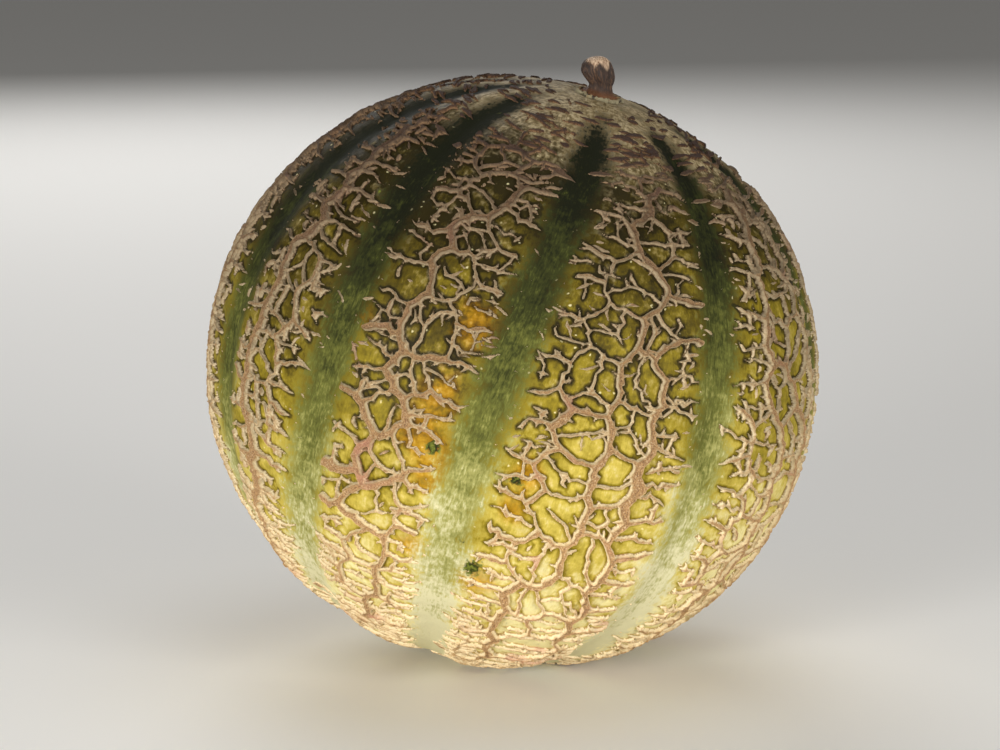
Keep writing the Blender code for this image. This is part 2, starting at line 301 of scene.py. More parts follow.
@dataclass
class NetPlan:
    """Cells of the net over the whole fruit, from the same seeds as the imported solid."""

    form: FruitForm
    seed: int = 41
    furrow_reach: float = math.radians(76.0)
    rib_reach: float = math.radians(77.0)
    furrow_pitch: float = 0.0098
    margin_pitch: float = 0.0089
    margin_offset: float = 0.0100
    margin_taper: float = 0.55
    margin_least_gap: float = 0.0050
    inner_pitch: float = 0.0115
    margin_jitter: float = 0.0013
    inner_jitter: float = 0.0022
    pole_ring_radius: float = 0.0090
    pole_ring_count: int = 10
    planned_ribs: int = 4
    trunk_reach: float = 54.0
    trunk_step: float = 13.5
    trunk_sway: float = 5.0
    fork_spread: float = 9.0
    trunk_nearness: float = 0.002
    trunk_pull: float = 0.6
    trunk_pull_limit: float = 0.0025
    fork_places: tuple[int, int] = (2, 5)
    fork_steps: int = 3
    fork_full_step: float = 2.0
    route_points: int = 12
    least_cosine: float = 0.2
    corners: np.ndarray = field(init=False)
    beside: np.ndarray = field(init=False)
    edges: list[tuple[int, int]] = field(init=False)
    cells: list[tuple[CellKind, np.ndarray, list[int]]] = field(init=False)
    trunk_steps: set[tuple[int, int]] = field(init=False)

    def __post_init__(self) -> None:
        """Lay the cells out and find the trunks."""
        mesh = self.cell_mesh()
        beside = mesh.verts.layers.int["furrows_beside"]
        mesh.verts.index_update()
        mesh.verts.ensure_lookup_table()
        self.trunk_steps = self.lay_trunks(mesh)
        self.corners = np.array([vert.co for vert in mesh.verts])
        self.beside = np.array([vert[beside] for vert in mesh.verts])
        furrow = CellKind.FURROW.value
        self.edges = []
        for edge in mesh.edges:
            if not any(face.material_index == furrow for face in edge.link_faces):
                self.edges.append(tuple(vert.index for vert in edge.verts))
        self.cells = []
        for face in mesh.faces:
            kind, ring = CellKind(face.material_index), [vert.index for vert in face.verts]
            self.cells.append((kind, np.array(face.calc_center_median()), ring))
        mesh.free()

    def rows(self, reach: float, pitch: float) -> list[float]:
        """Latitudes of evenly spaced rows between -reach and reach."""
        count = round(2.0 * reach * self.form.equator_radius / pitch)
        return [reach * ((2 * row + 1) / count - 1.0) for row in range(count)]

    def nudged(self, lat: float, lon: float, amount: float, rng: np.random.Generator) -> Vector:
        """Direction moved at random by up to an amount each way along the skin.

        Args:
            lat: Latitude in radians.
            lon: Longitude in radians.
            amount: Largest move in metres.
            rng: Source of the draws.

        Returns:
            Unit vector of the moved place.
        """
        up, across = rng.uniform(-amount, amount, 2) / self.form.equator_radius
        return direction(lat + up, lon + across / max(math.cos(lat), self.least_cosine))

    def margin_inset(self, lat: float) -> float:
        """Longitude from a furrow's line to the middle of the cells beside it."""
        narrowed = self.margin_offset * (1.0 - self.margin_taper * (1.0 - math.cos(lat)))
        return narrowed / (self.form.equator_radius * math.cos(lat))

    def rib_seeds(self, index: int, rng: np.random.Generator) -> list[tuple[Vector, CellKind]]:
        """Cell centres of one rib: two margin rows, and what fits between them.

        Args:
            index: Which rib, named by the furrow on its left.
            rng: Source of the draws.

        Returns:
            Directions of the cells' centres with their kind.
        """
        seeds = []
        radius = self.form.equator_radius
        for lat in self.rows(self.rib_reach, self.margin_pitch):
            left, right = self.form.furrow_lon(index, lat), self.form.furrow_lon(index + 1, lat)
            girth = radius * math.cos(lat)
            inset = self.margin_inset(lat)
            if (right - left - 2.0 * inset) * girth > self.margin_least_gap:
                seeds.append(self.nudged(lat, left + inset, self.margin_jitter, rng))
                seeds.append(self.nudged(lat, right - inset, self.margin_jitter, rng))
            else:
                seeds.append(self.nudged(lat, 0.5 * (left + right), self.margin_jitter, rng))
        for lat in self.rows(self.rib_reach, self.inner_pitch):
            left, right = self.form.furrow_lon(index, lat), self.form.furrow_lon(index + 1, lat)
            inset = self.margin_inset(lat)
            room = right - left - 2.0 * inset
            count = max(0, round(room * radius * math.cos(lat) / self.inner_pitch) - 1)
            for place in range(count):
                lon = left + inset + room * (place + 1) / (count + 1)
                seeds.append(self.nudged(lat, lon, self.inner_jitter, rng))
        return [(seed, CellKind.NET) for seed in seeds]

    def cell_seeds(self) -> list[tuple[Vector, CellKind]]:
        """Centres and kinds of all cells of the rind."""
        rng = np.random.default_rng(self.seed)
        seeds = []
        for index in range(len(self.form.furrows)):
            for lat in self.rows(self.furrow_reach, self.furrow_pitch):
                seeds.append((direction(lat, self.form.furrow_lon(index, lat)), CellKind.FURROW))
            seeds += self.rib_seeds(index, rng)
        ring = 0.5 * math.pi - self.pole_ring_radius / self.form.equator_radius
        for end in (1.0, -1.0):
            seeds.append((direction(end * 0.5 * math.pi, 0.0), CellKind.SEAT))
            for place in range(self.pole_ring_count):
                lon = math.tau * (place + 0.5) / self.pole_ring_count
                seeds.append((direction(end * ring, lon), CellKind.NET))
        return seeds

    def cell_mesh(self) -> bmesh.types.BMesh:
        """Unit sphere divided into cells; each corner counts the furrow cells beside it."""
        hull = bmesh.new()
        kind = hull.verts.layers.int.new("kind")
        for place, seed_kind in self.cell_seeds():
            hull.verts.new(place)[kind] = seed_kind.value
        bmesh.ops.convex_hull(hull, input=hull.verts)
        cells = bmesh.new()
        beside = cells.verts.layers.int.new("furrows_beside")
        faces = sorted(hull.faces, key=lambda face: tuple(round(v, 7) for v in face.calc_center_median()))
        corner = {}
        for face in faces:
            vert = cells.verts.new(face.calc_center_median().normalized())
            vert[beside] = sum(v[kind] == CellKind.FURROW.value for v in face.verts)
            corner[face] = vert
        for vert in hull.verts:
            loop = vert.link_loops[0]
            ring = []
            for _ in vert.link_loops:
                ring.append(corner[loop.face])
                loop = loop.link_loop_prev.link_loop_radial_next
            cells.faces.new(ring).material_index = vert[kind]
        hull.free()
        return cells

    def routes(self) -> list[list[tuple[float, float]]]:
        """Routes of the trunks: those planned, and seeded ones with a fork on the other ribs."""
        rng = np.random.default_rng(self.seed + 1)
        found = [[(math.radians(lat), math.radians(lon)) for lat, lon in route] for route in TRUNKS]
        for index in range(self.planned_ribs, len(self.form.furrows)):
            route = []
            for lat in np.radians(np.arange(self.trunk_reach, -self.trunk_reach - 1.0, -self.trunk_step)):
                left, right = self.form.furrow_lon(index, lat), self.form.furrow_lon(index + 1, lat)
                sway = math.radians(rng.uniform(-self.trunk_sway, self.trunk_sway))
                route.append((lat, 0.5 * (left + right) + sway))
            found.append(route)
            fork = int(rng.integers(*self.fork_places))
            side = math.radians(self.fork_spread) * rng.choice((-1.0, 1.0))
            branch = [route[fork]]
            for step in range(1, self.fork_steps + 1):
                lat, lon = route[fork + step]
                branch.append((lat, lon + side * min(1.0, step / self.fork_full_step)))
            found.append(branch)
        return found

    def walk(self, start: bmesh.types.BMVert, end: bmesh.types.BMVert, route: list[Vector]) -> list:
        """Cheapest way along cell borders from one corner to another, near a route.

        Args:
            start: Corner to set out from.
            end: Corner to reach.
            route: Points to stay close to.

        Returns:
            Corners of the way, from the end back to the start.
        """
        queue = [(0.0, start.index, start, None)]
        came_from = {}
        while queue:
            cost, _, vert, before = heapq.heappop(queue)
            if vert in came_from:
                continue
            came_from[vert] = before
            if vert == end:
                break
            for edge in vert.link_edges:
                other = edge.other_vert(vert)
                middle = 0.5 * (vert.co + other.co)
                off = min((middle - point).length for point in route)
                off *= self.form.equator_radius / self.trunk_nearness
                step = edge.calc_length() * (1.0 + off * off)
                if other not in came_from:
                    heapq.heappush(queue, (cost + step, other.index, other, vert))
        path = [end]
        while came_from[path[-1]] is not None:
            path.append(came_from[path[-1]])
        return path

    def lay_trunks(self, cells: bmesh.types.BMesh) -> set[tuple[int, int]]:
        """Find the trunks' steps from corner to corner, and draw the corners towards the routes.

        Args:
            cells: The cells, whose trunk corners are moved.

        Returns:
            Pairs of corner numbers, lower number first.
        """
        beside = cells.verts.layers.int["furrows_beside"]
        trunk = set()
        steps = set()
        for route in self.routes():
            points = []
            for (lat_a, lon_a), (lat_b, lon_b) in zip(route, route[1:]):
                for share in np.linspace(0.0, 1.0, self.route_points):
                    points.append(direction(lat_a + (lat_b - lat_a) * share, lon_a + (lon_b - lon_a) * share))
            free = [vert for vert in cells.verts if not vert[beside]]
            start = min(free, key=lambda vert: (vert.co - points[0]).length)
            end = min(free, key=lambda vert: (vert.co - points[-1]).length)
            path = self.walk(start, end, points)
            for a, b in zip(path, path[1:]):
                steps.add((min(a.index, b.index), max(a.index, b.index)))
            for vert in path:
                if vert[beside] or vert in trunk:
                    continue
                trunk.add(vert)
                nearest = min(points, key=lambda point: (vert.co - point).length)
                pull = (nearest - vert.co) * self.trunk_pull
                limit = self.trunk_pull_limit / self.form.equator_radius
                if pull.length > limit:
                    pull *= limit / pull.length
                vert.co = (vert.co + pull).normalized()
        return steps


@dataclass
class Stroke:
    """One ridge of cork in a rib's flat layout, in millimetres."""

    line: np.ndarray
    half_width: np.ndarray
    height: np.ndarray
    loose: bool = False


def pointing(angle: float) -> np.ndarray:
    """Unit vector of the flat layout, turned by an angle from across the rib."""
    return np.array((math.cos(angle), math.sin(angle)))


@dataclass(frozen=True)
class RidgeHabit:
    """Chances and ranges that a rib's ridges are drawn from, with angles in radians."""

    net_reach: float = math.radians(81.0)
    kink_slide: float = 0.3
    bow: float = 0.07
    waver: float = 0.13
    small_kink_mm: float = 0.22
    dash_kink_mm: float = 0.2
    thorn_tilt: float = 0.55
    spur_turn: Range = (0.6, 1.4)
    spur_share: Range = (0.45, 1.0)
    pole_loss: float = 0.92
    pole_gap: float = 0.22

    swell_mm: float = 17.0
    swell: float = 0.42
    trunk_thorns: float = 0.34
    trunk_spurs: float = 0.9
    trunk_spur_mm: float = 4.2

    rung_width: Range = (0.7, 1.3)
    rung_height: Range = (0.8, 1.15)
    rung_flare: float = 1.5
    rung_thorns: float = 0.30
    rung_spurs: float = 1.1
    rung_spur_mm: float = 3.0
    rung_overshoot_mm: Range = (-1.0, 2.0)
    hook_chance: float = 0.55
    hook_slant: float = 0.45
    hook_mm: Range = (1.0, 2.6)

    margin_slope: float = 0.22
    margin_slope_mm: float = 24.0
    margin_jitter: float = 0.14
    margin_attached: float = 0.70
    margin_drawn: float = 0.97
    margin_root_mm: float = -6.2
    margin_free_root_mm: Range = (-3.6, -0.5)
    margin_tip_mm: Range = (1.0, 5.0)
    margin_width: Range = (0.6, 1.0)
    margin_height: Range = (0.6, 0.95)
    margin_thorns: float = 0.35

    link_whole: float = 0.62
    link_mm: float = 4.5
    link_loose_mm: Range = (1.8, 3.2)
    link_width: Range = (0.6, 0.95)
    link_height: Range = (0.65, 0.95)

    split_straight: float = 0.28
    split_whole: float = 0.88
    split_short: Range = (0.45, 0.8)
    split_dash: float = 0.35
    split_dash_mm: Range = (0.8, 2.0)

    crossing_half_mm: Range = (0.24, 0.42)
    crossing_height_mm: Range = (0.38, 0.60)
    crossing_start: Range = (-0.05, 0.4)
    crossing_end: Range = (0.6, 1.05)

    pole_dash_lat: Range = (math.radians(50.0), math.radians(80.0))
    pole_dash_mm: Range = (1.2, 3.6)
    pole_dash_half_mm: Range = (0.42, 0.92)
    pole_dash_height_mm: Range = (0.32, 0.50)

    fleck_lat: float = 1.1
    fleck_mm: Range = (0.1, 0.8)
    fleck_half_mm: Range = (0.15, 0.25)
    fleck_height_mm: float = 0.22

    fine_lat: Range = (math.radians(2.0), math.radians(54.0))
    fine_mm: Range = (0.8, 2.5)
    fine_half_mm: Range = (0.26, 0.40)
    fine_height_mm: Range = (0.35, 0.62)


@dataclass
class RibSheet:
    """Cork net of one rib: its strokes, and the field they make on the rib's grid."""

    form: FruitForm
    plan: NetPlan
    index: int
    step_mm: float = 0.268
    reach_lat: float = math.radians(83.0)
    blend_mm: float = 0.10
    far_mm: float = 3.2
    trunk_half_mm: float = 1.06
    rung_half_mm: float = 0.48
    end_half_mm: float = 0.13
    spur_half_mm: float = 0.32
    trunk_height_mm: float = 0.95
    rung_height_mm: float = 0.72
    spur_height_mm: float = 0.50
    kink_step_mm: float = 1.6
    thorn_mm: Range = (0.25, 1.0)
    margin_room_mm: float = 12.5
    pole_dashes: int = 30
    flecks: int = 46
    fine_dashes: int = 76
    cross_below_mm: float = -38.0
    cross_pitch_mm: float = 3.3
    finer_mm: Range = (-6.0, 34.0)
    finer_share: float = 0.30
    pole_thin: Range = (math.radians(48.0), math.radians(68.0))
    habit: RidgeHabit = RidgeHabit()
    strokes: list[Stroke] = field(default_factory=list)
    xs: np.ndarray = field(init=False)
    ys: np.ndarray = field(init=False)
    depth: np.ndarray = field(init=False)
    net_depth: np.ndarray = field(init=False)
    crest: np.ndarray = field(init=False)

    def __post_init__(self) -> None:
        """Draw the strokes and work out their field on the rib's grid."""
        self.rng = np.random.default_rng(self.plan.seed * 100 + self.index)
        self.draw_net()
        self.draw_inside_cells()
        self.draw_pole_dashes()
        self.draw_flecks()
        self.draw_fine_dashes()
        self.make_field()

    @property
    def radius_mm(self) -> float:
        """Radius of the fruit's equator in millimetres."""
        return self.form.equator_radius / MM

    def middle(self, lat: np.ndarray) -> np.ndarray:
        """Longitude of the rib's middle line at each latitude."""
        return 0.5 * (self.form.furrow_lon(self.index, lat) + self.form.furrow_lon(self.index + 1, lat))

    def half_mm(self, lat: np.ndarray) -> np.ndarray:
        """Half of the rib's width at each latitude."""
        width = self.form.furrow_lon(self.index + 1, lat) - self.form.furrow_lon(self.index, lat)
        return 0.5 * width * np.cos(lat) * self.radius_mm

    def to_flat(self, unit: np.ndarray) -> np.ndarray:
        """Flat place of each direction, with x from the rib's middle line.

        Args:
            unit: Unit vectors in rows.

        Returns:
            Flat places in rows.
        """
        lat = np.arcsin(np.clip(unit[:, 2], -1.0, 1.0))
        lon = np.arctan2(unit[:, 0], -unit[:, 1])
        away = (lon - self.middle(lat) + np.pi) % math.tau - np.pi
        return np.stack((away * np.cos(lat), lat), axis=1) * self.radius_mm

    def to_fruit(self, flat: np.ndarray) -> tuple[np.ndarray, np.ndarray]:
        """Latitude and longitude of each flat place.

        Args:
            flat: Flat places in rows.

        Returns:
            Latitudes and longitudes in radians.
        """
        lat = flat[:, 1] / self.radius_mm
        return lat, self.middle(lat) + flat[:, 0] / (self.radius_mm * np.cos(lat))

    def inside(self, flat: np.ndarray) -> np.ndarray:
        """Which flat places lie on this rib."""
        return np.abs(flat[:, 0]) <= self.half_mm(flat[:, 1] / self.radius_mm)

    def crooked(self, a: np.ndarray, b: np.ndarray, kink: float = 0.30) -> np.ndarray:
        """Crooked line between two flat places, in short straight runs, as cork cracks.

        Args:
            a: Start.
            b: End.
            kink: Usual size of a kink in millimetres.

        Returns:
            Points of the line in rows.
        """
        span = b - a
        length = math.hypot(*span)
        count = max(3, round(length / self.kink_step_mm) + 1)
        share = np.linspace(0.0, 1.0, count)
        slide = self.habit.kink_slide
        share[1:-1] += self.rng.uniform(-slide, slide, count - 2) / (count - 1)
        arch = np.sin(np.pi * share)
        off = self.rng.normal(0.0, self.habit.bow) * length * arch
        off += self.rng.normal(0.0, kink, count) * np.minimum(1.0, 2.0 * arch)
        off[[0, -1]] = 0.0
        normal = np.array((-span[1], span[0])) / max(length, 1e-6)
        return a + share[:, None] * span + off[:, None] * normal

    def add(
        self,
        line: np.ndarray,
        half: tuple[float, ...],
        height: tuple[float, ...],
        thorny: float = 0.0,
        loose: bool = False,
    ) -> None:
        """Keep a stroke whose half width and height are spread along its line.

        Args:
            line: Points of the line in rows.
            half: Half widths at even steps along the line.
            height: Heights at even steps along the line.
            thorny: Chance of a thorn at each kink.
            loose: Whether it lies on the skin, which then doesn't sink beside it.
        """
        share = np.linspace(0.0, 1.0, len(line))
        widths = np.interp(share, np.linspace(0.0, 1.0, len(half)), half)
        widths *= 1.0 + self.rng.normal(0.0, self.habit.waver, len(line))
        if not loose:
            widths *= 1.0 - self.finer_share * smooth_step(line[:, 1], *self.finer_mm)
        heights = np.interp(share, np.linspace(0.0, 1.0, len(height)), height)
        self.strokes.append(Stroke(line, widths, heights, loose))
        for at in range(1, len(line) - 1):
            if self.rng.random() < thorny:
                self.thorn(line[at - 1 : at + 2], widths[at], heights[at])

    def thorn(self, around: np.ndarray, half: float, height: float) -> None:
        """Grow a short pointed thorn on the outer side of a kink.

        Args:
            around: The kink with the points before and after it.
            half: Half width of the ridge there.
            height: Height of the ridge there.
        """
        back, ahead = around[1] - around[0], around[2] - around[1]
        along = (back + ahead) / max(np.linalg.norm(back + ahead), 1e-6)
        outer = -1.0 if back[0] * ahead[1] - back[1] * ahead[0] > 0.0 else 1.0
        tilt = self.rng.normal(0.0, self.habit.thorn_tilt)
        across = outer * np.array((-along[1], along[0]))
        reach = half + self.rng.uniform(*self.thorn_mm)
        tip = around[1] + reach * (across * math.cos(tilt) + along * math.sin(tilt))
        widths = np.array((0.85 * half, 0.5 * half, 0.07))
        line = np.stack((around[1], 0.5 * (around[1] + tip), tip))
        self.strokes.append(Stroke(line, widths, height * np.array((1.0, 0.8, 0.35))))

    def spur(self, line: np.ndarray, size: float) -> None:
        """Grow a side spur from somewhere along a line.

        Args:
            line: Points of the ridge that carries it.
            size: Largest length in millimetres.
        """
        at = int(self.rng.integers(1, len(line) - 1)) if len(line) > 2 else 0
        along = line[min(at + 1, len(line) - 1)] - line[max(at - 1, 0)]
        turn = self.rng.choice((-1.0, 1.0)) * self.rng.uniform(*self.habit.spur_turn)
        angle = math.atan2(along[1], along[0]) + turn
        length = self.rng.uniform(*self.habit.spur_share) * size
        tip = line[at] + length * pointing(angle)
        wide, high = self.spur_half_mm, self.spur_height_mm
        widths = (1.3 * wide, wide, 0.8 * wide, 0.1)
        heights = (1.2 * high, high, 0.8 * high, 0.35 * high)
        self.add(self.crooked(line[at], tip, self.habit.small_kink_mm), widths, heights, 0.3)

    def draw_net(self) -> None:
        """Draw the borders of the cells: trunks, rungs, and their spurs."""
        unit = self.plan.corners
        trunk_corner = {corner for step in self.plan.trunk_steps for corner in step}
        for a, b in self.plan.edges:
            middle = 0.5 * (unit[a] + unit[b])
            middle /= np.linalg.norm(middle)
            flat = self.to_flat(np.array((unit[a], unit[b], middle)))
            if not self.inside(flat[2:])[0] or abs(middle[2]) > math.sin(self.habit.net_reach):
                continue
            thin = float(smooth_step(abs(math.asin(middle[2])), *self.pole_thin))
            span = flat[1] - flat[0]
            if (min(a, b), max(a, b)) in self.plan.trunk_steps:
                self.draw_trunk(self.crooked(flat[0], flat[1], self.habit.small_kink_mm), thin)
                continue
            lengthwise = abs(span[1]) > abs(span[0])
            if lengthwise and self.rng.random() < self.habit.pole_loss * thin:
                continue
            line = self.crooked(flat[0], flat[1])
            if not lengthwise and thin > 0.0:
                cut = self.habit.pole_gap * thin * self.rng.random(2)
                line = self.crooked(flat[0] + span * cut[0], flat[1] - span * cut[1])
            self.draw_rung(line, a in trunk_corner, b in trunk_corner, self.plan.beside[[a, b]], thin)

    def draw_trunk(self, line: np.ndarray, thin: float) -> None:
        """Draw one step of a trunk, wide where its own slow noise swells it.

        Args:
            line: Points of the step.
            thin: How far the pole has thinned the net, 0 to 1.
        """
        swell = grain(line[[0, -1]], self.habit.swell_mm, 7 + self.index)
        half = self.trunk_half_mm * (1.0 + self.habit.swell * swell) * (1.0 - 0.45 * thin)
        high = self.trunk_height_mm * (1.0 - 0.4 * thin)
        self.add(line, (half[0], half[1]), (high, high), self.habit.trunk_thorns)
        for _ in range(self.rng.poisson(self.habit.trunk_spurs)):
            self.spur(line, self.habit.trunk_spur_mm)

    def draw_rung(
        self, line: np.ndarray, trunk_a: bool, trunk_b: bool, beside: np.ndarray, thin: float
    ) -> None:
        """Draw one lesser ridge, which flares into a trunk and tapers to a free end.

        Args:
            line: Points of the ridge.
            trunk_a: Whether it starts on a trunk.
            trunk_b: Whether it ends on a trunk.
            beside: Furrow cells beside each end; an end beside one is free.
            thin: How far the pole has thinned the net, 0 to 1.
        """
        half = self.rung_half_mm * self.rng.uniform(*self.habit.rung_width) * (1.0 - 0.35 * thin)
        high = self.rung_height_mm * self.rng.uniform(*self.habit.rung_height) * (1.0 - 0.45 * thin)
        widths, heights = [half] * 6, [high] * 6
        for at, on_trunk, free in ((0, trunk_a, beside[0]), (-1, trunk_b, beside[1])):
            if on_trunk:
                widths[at] = half * self.habit.rung_flare
            if free or thin > 0.5:
                widths[at] = self.end_half_mm
                heights[at] = high * 0.45
        if beside.max() > 0 and beside.min() == 0:
            end = -1 if beside[1] else 0
            outward = line[end] - line[0 if end else -1]
            outward /= max(np.linalg.norm(outward), 1e-6)
            tip = line[end] + outward * self.rng.uniform(*self.habit.rung_overshoot_mm)
            line = np.vstack((line[:-1], tip)) if end else np.vstack((tip, line[1:]))
            if self.rng.random() < self.habit.hook_chance:
                self.hook(line[-2] if end else line[1])
        self.add(line, tuple(widths), tuple(heights), self.habit.rung_thorns)
        for _ in range(self.rng.poisson(self.habit.rung_spurs * (1.0 - thin))):
            self.spur(line, self.habit.rung_spur_mm)

    def hook(self, at: np.ndarray) -> None:
        """Grow a short crossbar at a rung's free end."""
        slant = self.rng.normal(0.0, self.habit.hook_slant)
        length = self.rng.uniform(*self.habit.hook_mm) * self.rng.choice((-1.0, 1.0))
        tip = at + length * np.array((math.sin(slant), math.cos(slant)))
        wide, high = self.spur_half_mm, self.spur_height_mm
        self.add(self.crooked(at, tip), (1.3 * wide, wide, 0.12), (1.3 * high, high, 0.4 * high), 0.3)

    def own_cells(self) -> list[tuple[np.ndarray, np.ndarray, float]]:
        """Flat centre, flat corners and room to the furrow of the rib's net cells."""
        found = []
        for kind, centre, corners in self.plan.cells:
            middle = centre[None] / np.linalg.norm(centre)
            flat = self.to_flat(np.vstack((middle, self.plan.corners[corners])))
            if kind is not CellKind.NET or not self.inside(flat[:1])[0]:
                continue
            if abs(flat[0, 1]) < self.pole_thin[1] * self.radius_mm:
                room = float(self.half_mm(flat[0, 1] / self.radius_mm)) - abs(flat[0, 0])
                found.append((flat[0], flat[1:], room))
        return found

    def draw_inside_cells(self) -> None:
        """Break every cell up: rungs across those beside a furrow, splits and forks in the others."""
        for centre, corners, room in self.own_cells():
            if room < self.margin_room_mm:
                self.draw_margin_rung(centre)
                self.draw_margin_link(centre)
            elif centre[1] > self.cross_below_mm:
                self.draw_split(centre, corners)
            if centre[1] < self.cross_below_mm:
                self.draw_crossings(corners)

    def draw_margin_rung(self, centre: np.ndarray) -> None:
        """Add a free rung across a cell beside a furrow, where life has twice as many.

        Args:
            centre: Flat centre of the cell.
        """
        habit = self.habit
        side = 1.0 if centre[0] > 0.0 else -1.0
        kind = self.rng.random()
        drift = grain(centre[None] * (0.0, 1.0), habit.margin_slope_mm, 11 + self.index)
        slope = habit.margin_slope * float(drift[0])
        slope += self.rng.normal(0.0, habit.margin_jitter)
        attached = kind < habit.margin_attached
        start = habit.margin_root_mm if attached else self.rng.uniform(*habit.margin_free_root_mm)
        end = self.rng.uniform(*habit.margin_tip_mm)
        if kind > habit.margin_drawn:
            return
        a = centre + (side * start, slope * start)
        b = centre + (side * end, slope * end + self.rng.normal(0.0, 0.7))
        half = self.rung_half_mm * self.rng.uniform(*habit.margin_width)
        first = half if attached else 0.1
        high = self.rung_height_mm * self.rng.uniform(*habit.margin_height)
        line = self.crooked(a, b)
        widths = (first, half, 0.9 * half, self.end_half_mm)
        self.add(line, widths, (high, high, high, 0.5 * high), habit.margin_thorns)
        if self.rng.random() < 0.6:
            self.spur(line, 2.6)
        if self.rng.random() < 0.4:
            self.hook(line[-2])

    def draw_margin_link(self, centre: np.ndarray) -> None:
        """Join a margin cell's free rung to the rung above or below it, or leave a loose arm there.

        Args:
            centre: Flat centre of the cell.
        """
        habit = self.habit
        side = 1.0 if centre[0] > 0.0 else -1.0
        up = self.rng.choice((-1.0, 1.0))
        whole = self.rng.random() < habit.link_whole
        a = centre + (side * self.rng.uniform(-3.2, 1.6), 0.0)
        reach = habit.link_mm if whole else self.rng.uniform(*habit.link_loose_mm)
        b = a + (self.rng.normal(0.0, 1.1), up * reach)
        half = self.rung_half_mm * self.rng.uniform(*habit.link_width)
        high = self.rung_height_mm * self.rng.uniform(*habit.link_height)
        last = 0.9 * half if whole else self.end_half_mm
        line = self.crooked(a, b)
        heights = (high, high, high if whole else 0.45 * high)
        self.add(line, (half, half, last), heights, habit.margin_thorns)
        if self.rng.random() < 0.5:
            self.spur(line, 2.4)

    def draw_split(self, centre: np.ndarray, corners: np.ndarray) -> None:
        """Split a cell with a ridge between opposite sides, a fork of three arms, or loose dashes.

        Args:
            centre: Flat centre of the cell.
            corners: Its flat corners in order.
        """
        habit = self.habit
        sides = 0.5 * (corners + np.roll(corners, -1, axis=0))
        count = len(sides)
        hub = centre + self.rng.normal(0.0, 0.9, 2)
        first = int(self.rng.integers(count))
        kind = self.rng.random()
        arms = (0, count // 2) if kind < habit.split_straight else (0, count // 3, 2 * count // 3)
        half = self.rung_half_mm * self.rng.uniform(0.65, 1.0)
        high = self.rung_height_mm * self.rng.uniform(0.7, 0.95)
        for arm in arms:
            side = sides[(first + arm) % count]
            whole = self.rng.random() < habit.split_whole
            reach = 1.0 if whole else self.rng.uniform(*habit.split_short)
            tip = hub + reach * (side - hub)
            last = half if whole else 0.12
            heights = (high, high, high if whole else 0.4 * high)
            self.add(self.crooked(hub, tip), (half, half, last), heights, 0.35)
        if kind > habit.split_dash:
            place = centre + self.rng.normal(0.0, 2.1, 2)
            angle = self.rng.uniform(-1.3, 1.3)
            arm = self.rng.uniform(*habit.split_dash_mm) * pointing(angle)
            line = self.crooked(place - arm, place + arm, habit.dash_kink_mm)
            heights = (0.4 * high, 0.8 * high, 0.8 * high, 0.4 * high)
            self.add(line, (0.1, 0.42, 0.46, 0.1), heights, 0.2)

    def draw_crossings(self, corners: np.ndarray) -> None:
        """Cross a cell low on the fruit with thin ridges that run round it.

        Args:
            corners: Flat corners of the cell.
        """
        low, size = corners.min(axis=0), np.ptp(corners, axis=0)
        count = max(1, round(size[1] / self.cross_pitch_mm) - 1)
        for place in range(count):
            start = self.rng.uniform(*self.habit.crossing_start)
            end = self.rng.uniform(*self.habit.crossing_end)
            rise = low[1] + size[1] * (place + 1) / (count + 1) + self.rng.normal(0.0, 0.5, 2)
            a = np.array((low[0] + size[0] * start, rise[0]))
            b = np.array((low[0] + size[0] * end, rise[1]))
            half = self.rng.uniform(*self.habit.crossing_half_mm)
            high = self.rng.uniform(*self.habit.crossing_height_mm)
            line = self.crooked(a, b)
            self.add(line, (0.08, half, half, 0.08), (0.5 * high, high, high, 0.5 * high), 0.25)
            if self.rng.random() < 0.4:
                self.spur(line, 2.2)

    def draw_pole_dashes(self) -> None:
        """Scatter short dashes across the rib near both poles, where the net breaks up."""
        habit = self.habit
        for end in (1.0, -1.0):
            for _ in range(self.pole_dashes):
                lat = end * self.rng.uniform(*habit.pole_dash_lat)
                room = float(self.half_mm(lat))
                place = np.array((self.rng.uniform(-0.9, 0.9) * room, lat * self.radius_mm))
                slant = self.rng.normal(0.0, 0.16)
                arm = self.rng.uniform(*habit.pole_dash_mm) * pointing(slant)
                half = self.rng.uniform(*habit.pole_dash_half_mm)
                high = self.rng.uniform(*habit.pole_dash_height_mm)
                line = self.crooked(place - arm, place + arm, 0.14)
                widths = (0.05, 0.7 * half, half, 0.6 * half, 0.05)
                self.add(line, widths, (0.3 * high, high, high, 0.3 * high), 0.10, loose=True)

    def draw_flecks(self) -> None:
        """Scatter corky flecks along the furrows' margins."""
        habit = self.habit
        for side in (-1.0, 1.0):
            for _ in range(self.flecks):
                lat = self.rng.uniform(-habit.fleck_lat, habit.fleck_lat)
                x = side * (float(self.half_mm(lat)) - self.rng.gamma(7.0, 0.75))
                place = np.array((x, lat * self.radius_mm))
                angle = self.rng.normal(0.0, 0.6)
                arm = self.rng.uniform(*habit.fleck_mm) * pointing(angle)
                half = self.rng.uniform(*habit.fleck_half_mm)
                line = np.array((place - arm, place, place + arm))
                self.add(line, (0.5 * half, half, 0.4 * half), (habit.fleck_height_mm,) * 2, loose=True)

